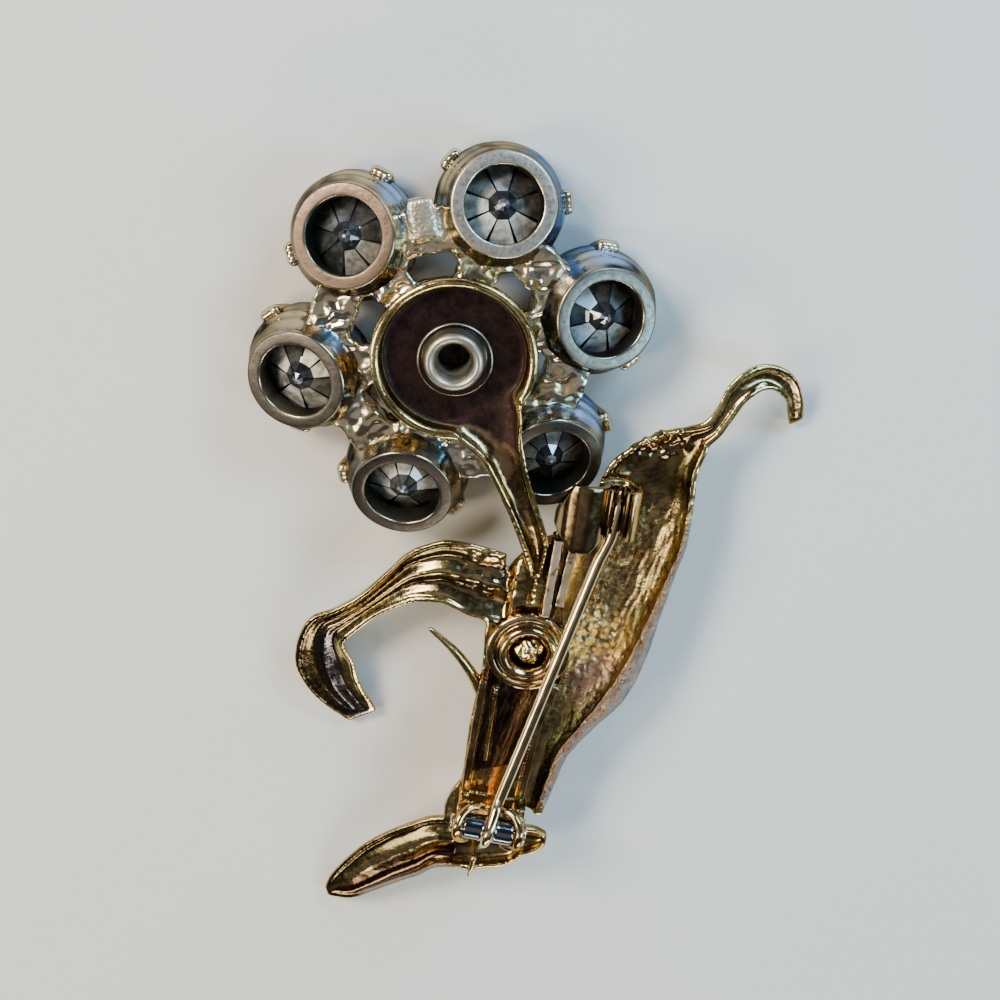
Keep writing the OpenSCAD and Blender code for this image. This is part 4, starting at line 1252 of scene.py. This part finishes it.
def silver_material():
    n = Nodes("silver_cups")
    face, inner, tint, stipple, sky, light = n.attrs(
        "face", "inner", "tint", "stipple", "sky", "light")
    patches = n.noise(1.9, 3, 0.55)
    fine = n.noise(0.3, 4, 0.65)
    # Painted shade: the cup walls are far darker than the webs of the same silver
    wall = n.grade(n.noise(2.4, 3, 0.6), 0.38, 0.6, (0.23, 0.22, 0.2), (0.055, 0.055, 0.06))
    web = n.grade(patches, 0.36, 0.66, (0.74, 0.71, 0.61), (0.4, 0.38, 0.32))
    silver = n.mix(n.ramp(tint, 0.85, 1.0, 0, 1), wall, web)
    silver = n.mix(n.ramp(fine, 0.62, 0.76, 0, 0.4), silver, (0.14, 0.14, 0.15))
    warm = n.times(n.ramp(n.noise(3.4, 2), 0.36, 0.58, 0, 0.85), n.ramp(tint, 0.0, 1.0, 0.6, 1))
    silver = n.mix(warm, silver, (0.66, 0.54, 0.33))
    # Painted reflection: the walls turn blue where the sky would be mirrored
    silver = n.mix(n.times(sky, n.ramp(patches, 0.3, 0.6, 1, 0.55)), silver, (0.28, 0.52, 0.95))
    ring = n.mix(tint, (0.75, 0.72, 0.64), (0.75, 0.45, 0.28))
    # Painted light and shade: each ring is lighter or darker, down to near black, by its cup's light value
    ring = n.mix(light, (0.012, 0.012, 0.01), ring)
    ring = n.mix(n.ramp(fine, 0.48, 0.7, 0, 0.4), ring, (0.05, 0.046, 0.04))
    color = n.mix(face, silver, ring)
    # Painted shade: the ring's inner wall is near black
    color = n.mix(n.times(inner, 0.9), color, (0.09, 0.09, 0.08))
    color = n.mix(stipple, color, (0.74, 0.67, 0.52))
    rough = n.blend(face, n.ramp(patches, 0.3, 0.7, 0.14, 0.28), n.ramp(fine, 0.3, 0.7, 0.28, 0.42))
    rough = n.blend(n.math("MAXIMUM", stipple, inner), rough, 0.36)
    b = n.bump(n.noise(1.0, 2, 0.5), 0.05, 0.6)
    b = n.bump(n.noise(0.22, 3, 0.6), 0.012, 0.6, b)
    b = n.bump(n.times(n.cells(0.3), stipple), 0.05, 0.8, b)
    return n.done(Base_Color=color, Metallic=1.0, Roughness=rough, Normal=b,
                  Specular_Tint=(0.3, 0.29, 0.27))


def rivet_material():
    n = Nodes("silver_rivet")
    bore, flange = n.attrs("bore", "flange")
    fine = n.noise(0.3, 4, 0.6)
    color = n.grade(n.noise(1.2, 4, 0.6), 0.35, 0.7, (0.5, 0.46, 0.37), (0.36, 0.32, 0.26))
    color = n.mix(flange, color, (0.06, 0.042, 0.038))
    # Painted shade: the bore is near black
    color = n.mix(bore, color, (0.012, 0.01, 0.012))
    b = n.bump(n.noise(1.4, 2, 0.5), 0.01, 0.4)
    rough = n.blend(flange, n.ramp(fine, 0.3, 0.7, 0.36, 0.44), 0.28)
    return n.done(Base_Color=color, Metallic=n.blend(bore, 1.0, 0.2), Roughness=rough, Normal=b)


def pin_back_material():
    n = Nodes("pin_back_gold")
    joint, dim, pale = n.attrs("joint", "dim", "pale")
    patches = n.noise(2.2, 4, 0.6)
    fine = n.noise(0.3, 4, 0.6)
    lines = n.noise(0.22, 3, 0.6, stretch=(9, -18))
    gold = n.grade(patches, 0.38, 0.66, (0.58, 0.43, 0.22), (0.26, 0.175, 0.09))
    gold = n.mix(n.times(joint, n.ramp(patches, 0.3, 0.6, 1.0, 0.7)), gold, (0.66, 0.42, 0.16))
    brown = n.grade(lines, 0.4, 0.62, (0.05, 0.032, 0.026), (0.19, 0.13, 0.085))
    color = n.mix(dim, gold, brown)
    # The pale crests are partly wear and partly a painted highlight
    worn = n.times(pale, n.ramp(n.noise(1.1, 4, 0.65), 0.36, 0.5, 0.1, 1.0))
    color = n.mix(worn, color, (0.6, 0.51, 0.38))
    b = n.bump(n.noise(1.6, 2, 0.5), 0.05, 0.4)
    b = n.bump(n.times(lines, dim), 0.04, 0.7, b)
    b = n.bump(fine, 0.005, 0.5, b)
    rough = n.blend(worn, n.ramp(fine, 0.3, 0.7, 0.1, 0.22), 0.42)
    return n.done(Base_Color=color, Metallic=1.0, Roughness=rough, Normal=b, Specular_Tint=GOLD_EDGE)


def pin_material():
    n = Nodes("pin_wire_gold")
    steel, = n.attrs("steel")
    fine = n.noise(0.4, 3, 0.6)
    gold = n.grade(n.noise(1.6, 3), 0.35, 0.7, (0.85, 0.7, 0.42), (0.58, 0.44, 0.24))
    color = n.mix(steel, gold, (0.17, 0.19, 0.23))
    b = n.bump(fine, 0.008, 0.5)
    return n.done(Base_Color=color, Metallic=1.0, Roughness=n.ramp(fine, 0.3, 0.7, 0.08, 0.18), Normal=b)


def lever_material():
    n = Nodes("catch_gold")
    fine = n.noise(0.4, 3, 0.6)
    color = n.grade(n.noise(1.6, 4, 0.6), 0.35, 0.65, (0.3, 0.21, 0.1), (0.15, 0.1, 0.05))
    b = n.bump(n.noise(1.3, 2), 0.04, 0.4)
    return n.done(Base_Color=color, Metallic=1.0, Roughness=n.ramp(fine, 0.3, 0.7, 0.1, 0.2), Normal=b)


def hinge_rivet_material():
    n = Nodes("hinge_rivet_gold")
    fine = n.noise(0.35, 3, 0.6)
    color = n.grade(n.noise(0.9, 3, 0.6), 0.35, 0.65, (0.66, 0.58, 0.42), (0.4, 0.34, 0.26))
    b = n.bump(fine, 0.015, 0.6)
    return n.done(Base_Color=color, Metallic=1.0, Roughness=n.ramp(fine, 0.3, 0.7, 0.14, 0.28), Normal=b)


def stone_material():
    n = Nodes("smoky_stone")
    f, warm = n.attrs("facet", "warm")
    # Each facet's painted brightness, from near black to pale, stands in for the stone's reflections and
    # shade
    cloud = n.ramp(n.noise(0.9, 3, 0.6), 0.3, 0.7, 0.55, 1.25)
    f = n.times(f, cloud)
    cool = n.grade(f, 0.0, 1.0, (0.006, 0.007, 0.009), (0.8, 0.86, 0.95))
    tan = n.grade(f, 0.0, 1.0, (0.008, 0.008, 0.008), (0.85, 0.78, 0.6))
    color = n.mix(warm, cool, tan)
    return n.done(Base_Color=color, Metallic=0.0, Roughness=0.06, IOR=1.6, Coat_Weight=0.5,
                  Coat_Roughness=0.03)


# Building

def finish_piece(obj, mat, node, body="brooch", smooth=True):
    mesh = obj.data
    mesh.transform(Matrix.Scale(MM, 4) @ Matrix.Translation(Vector(-MID)))
    mesh.polygons.foreach_set("use_smooth", [smooth] * len(mesh.polygons))
    mesh.update()
    mesh.materials.clear()
    mesh.materials.append(mat)
    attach(obj, body)
    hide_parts(node)


spray = make_spray()
spray_looks(spray)
finish_piece(spray, casting_material(), "spray")

silver = silver_material()
for i in range(6):
    finish_piece(make_cup(i), silver, "flower_cups")
finish_piece(make_webs(), silver, "flower_cups")

smoky_stone = stone_material()
for i in range(6):
    finish_piece(make_stone(i), smoky_stone, "stone_%d" % (i + 1), smooth=False)

finish_piece(make_rivet(), rivet_material(), "tube_rivet")

bar = make_back_bar()
bar_looks(bar)
pin_back = pin_back_material()
finish_piece(bar, pin_back, "back_bar")
finish_piece(make_housing(), pin_back, "back_bar")

finish_piece(make_pin(), pin_material(), "pin_stem", body="pin")
finish_piece(make_lever(), lever_material(), "catch_lever", body="lever")
finish_piece(make_hinge_rivet(), hinge_rivet_material(), "hinge_rivet")

# Floor, lights and camera, in metres

FLOOR_SIZE, FLOOR_DROP = 3.0, 0.00002
bpy.ops.mesh.primitive_plane_add(size=FLOOR_SIZE, location=(0, 0, -FLOOR_DROP))
floor = bpy.context.object
floor.name = "floor"
floor.data.materials.append(Nodes("pale_floor").done(Base_Color=(0.62, 0.61, 0.59), Roughness=0.7))

world = bpy.data.worlds.new("studio")
bpy.context.scene.world = world
world.use_nodes = True
sky = world.node_tree.nodes["Background"]
sky.inputs["Color"].default_value = (0.95, 0.93, 0.9, 1)
sky.inputs["Strength"].default_value = 0.06

# Name, place, size, power and colour of each soft light
LIGHTS = [
    ("key", (-0.28, 0.28, 0.34), (0.2, 0.14), 3.8, (1.0, 0.92, 0.78)),
    ("left", (-0.37, -0.06, 0.33), (0.12, 0.24), 1.5, (1.0, 0.88, 0.66)),
    ("window", (0.4, -0.1, 0.3), (0.12, 0.34), 1.9, (0.5, 0.82, 1.0)),
    ("window_top", (0.26, 0.34, 0.24), (0.22, 0.1), 2.6, (0.38, 0.68, 1.0)),
    ("back", (0.06, -0.44, 0.22), (0.3, 0.06), 1.2, (1.0, 0.9, 0.78)),
    ("over", (0.0, -0.06, 0.6), (0.5, 0.4), 0.17, (1.0, 0.93, 0.85))]
LIGHT_AIM = Vector((0, 0, 0.004))
for name, where, size, power, color in LIGHTS:
    light = bpy.data.lights.new(name, "AREA")
    light.shape = "RECTANGLE"
    light.size, light.size_y = size
    light.energy = power
    light.color = color
    lamp = bpy.data.objects.new(name, light)
    bpy.context.scene.collection.objects.link(lamp)
    lamp.location = where
    lamp.rotation_euler = (LIGHT_AIM - Vector(where)).to_track_quat("-Z", "Y").to_euler()

# The camera looks from the flower's side; 500 px are half the frame, at 13 px to the millimetre
TILT = math.radians(22)
REACH_MM = 150.0
HALF_FRAME_MM = 500 / 13.0
TARGET_Z = 0.0054
target = Vector((-MID[0] / 1000, -MID[1] / 1000, TARGET_Z))
back_dir = Vector((0, math.sin(TILT), math.cos(TILT)))
up_dir = Vector((0, math.cos(TILT), -math.sin(TILT)))
cam = bpy.data.cameras.new("camera")
cam.sensor_fit = "HORIZONTAL"
cam.angle = 2 * math.atan(HALF_FRAME_MM / REACH_MM)
cam.clip_start = 0.01
cam_obj = bpy.data.objects.new("camera", cam)
bpy.context.scene.collection.objects.link(cam_obj)
rot = Matrix((Vector((1, 0, 0)), up_dir, back_dir)).transposed()
cam_obj.matrix_world = Matrix.Translation(target + back_dir * (REACH_MM / 1000)) @ rot.to_4x4()
bpy.context.scene.camera = cam_obj
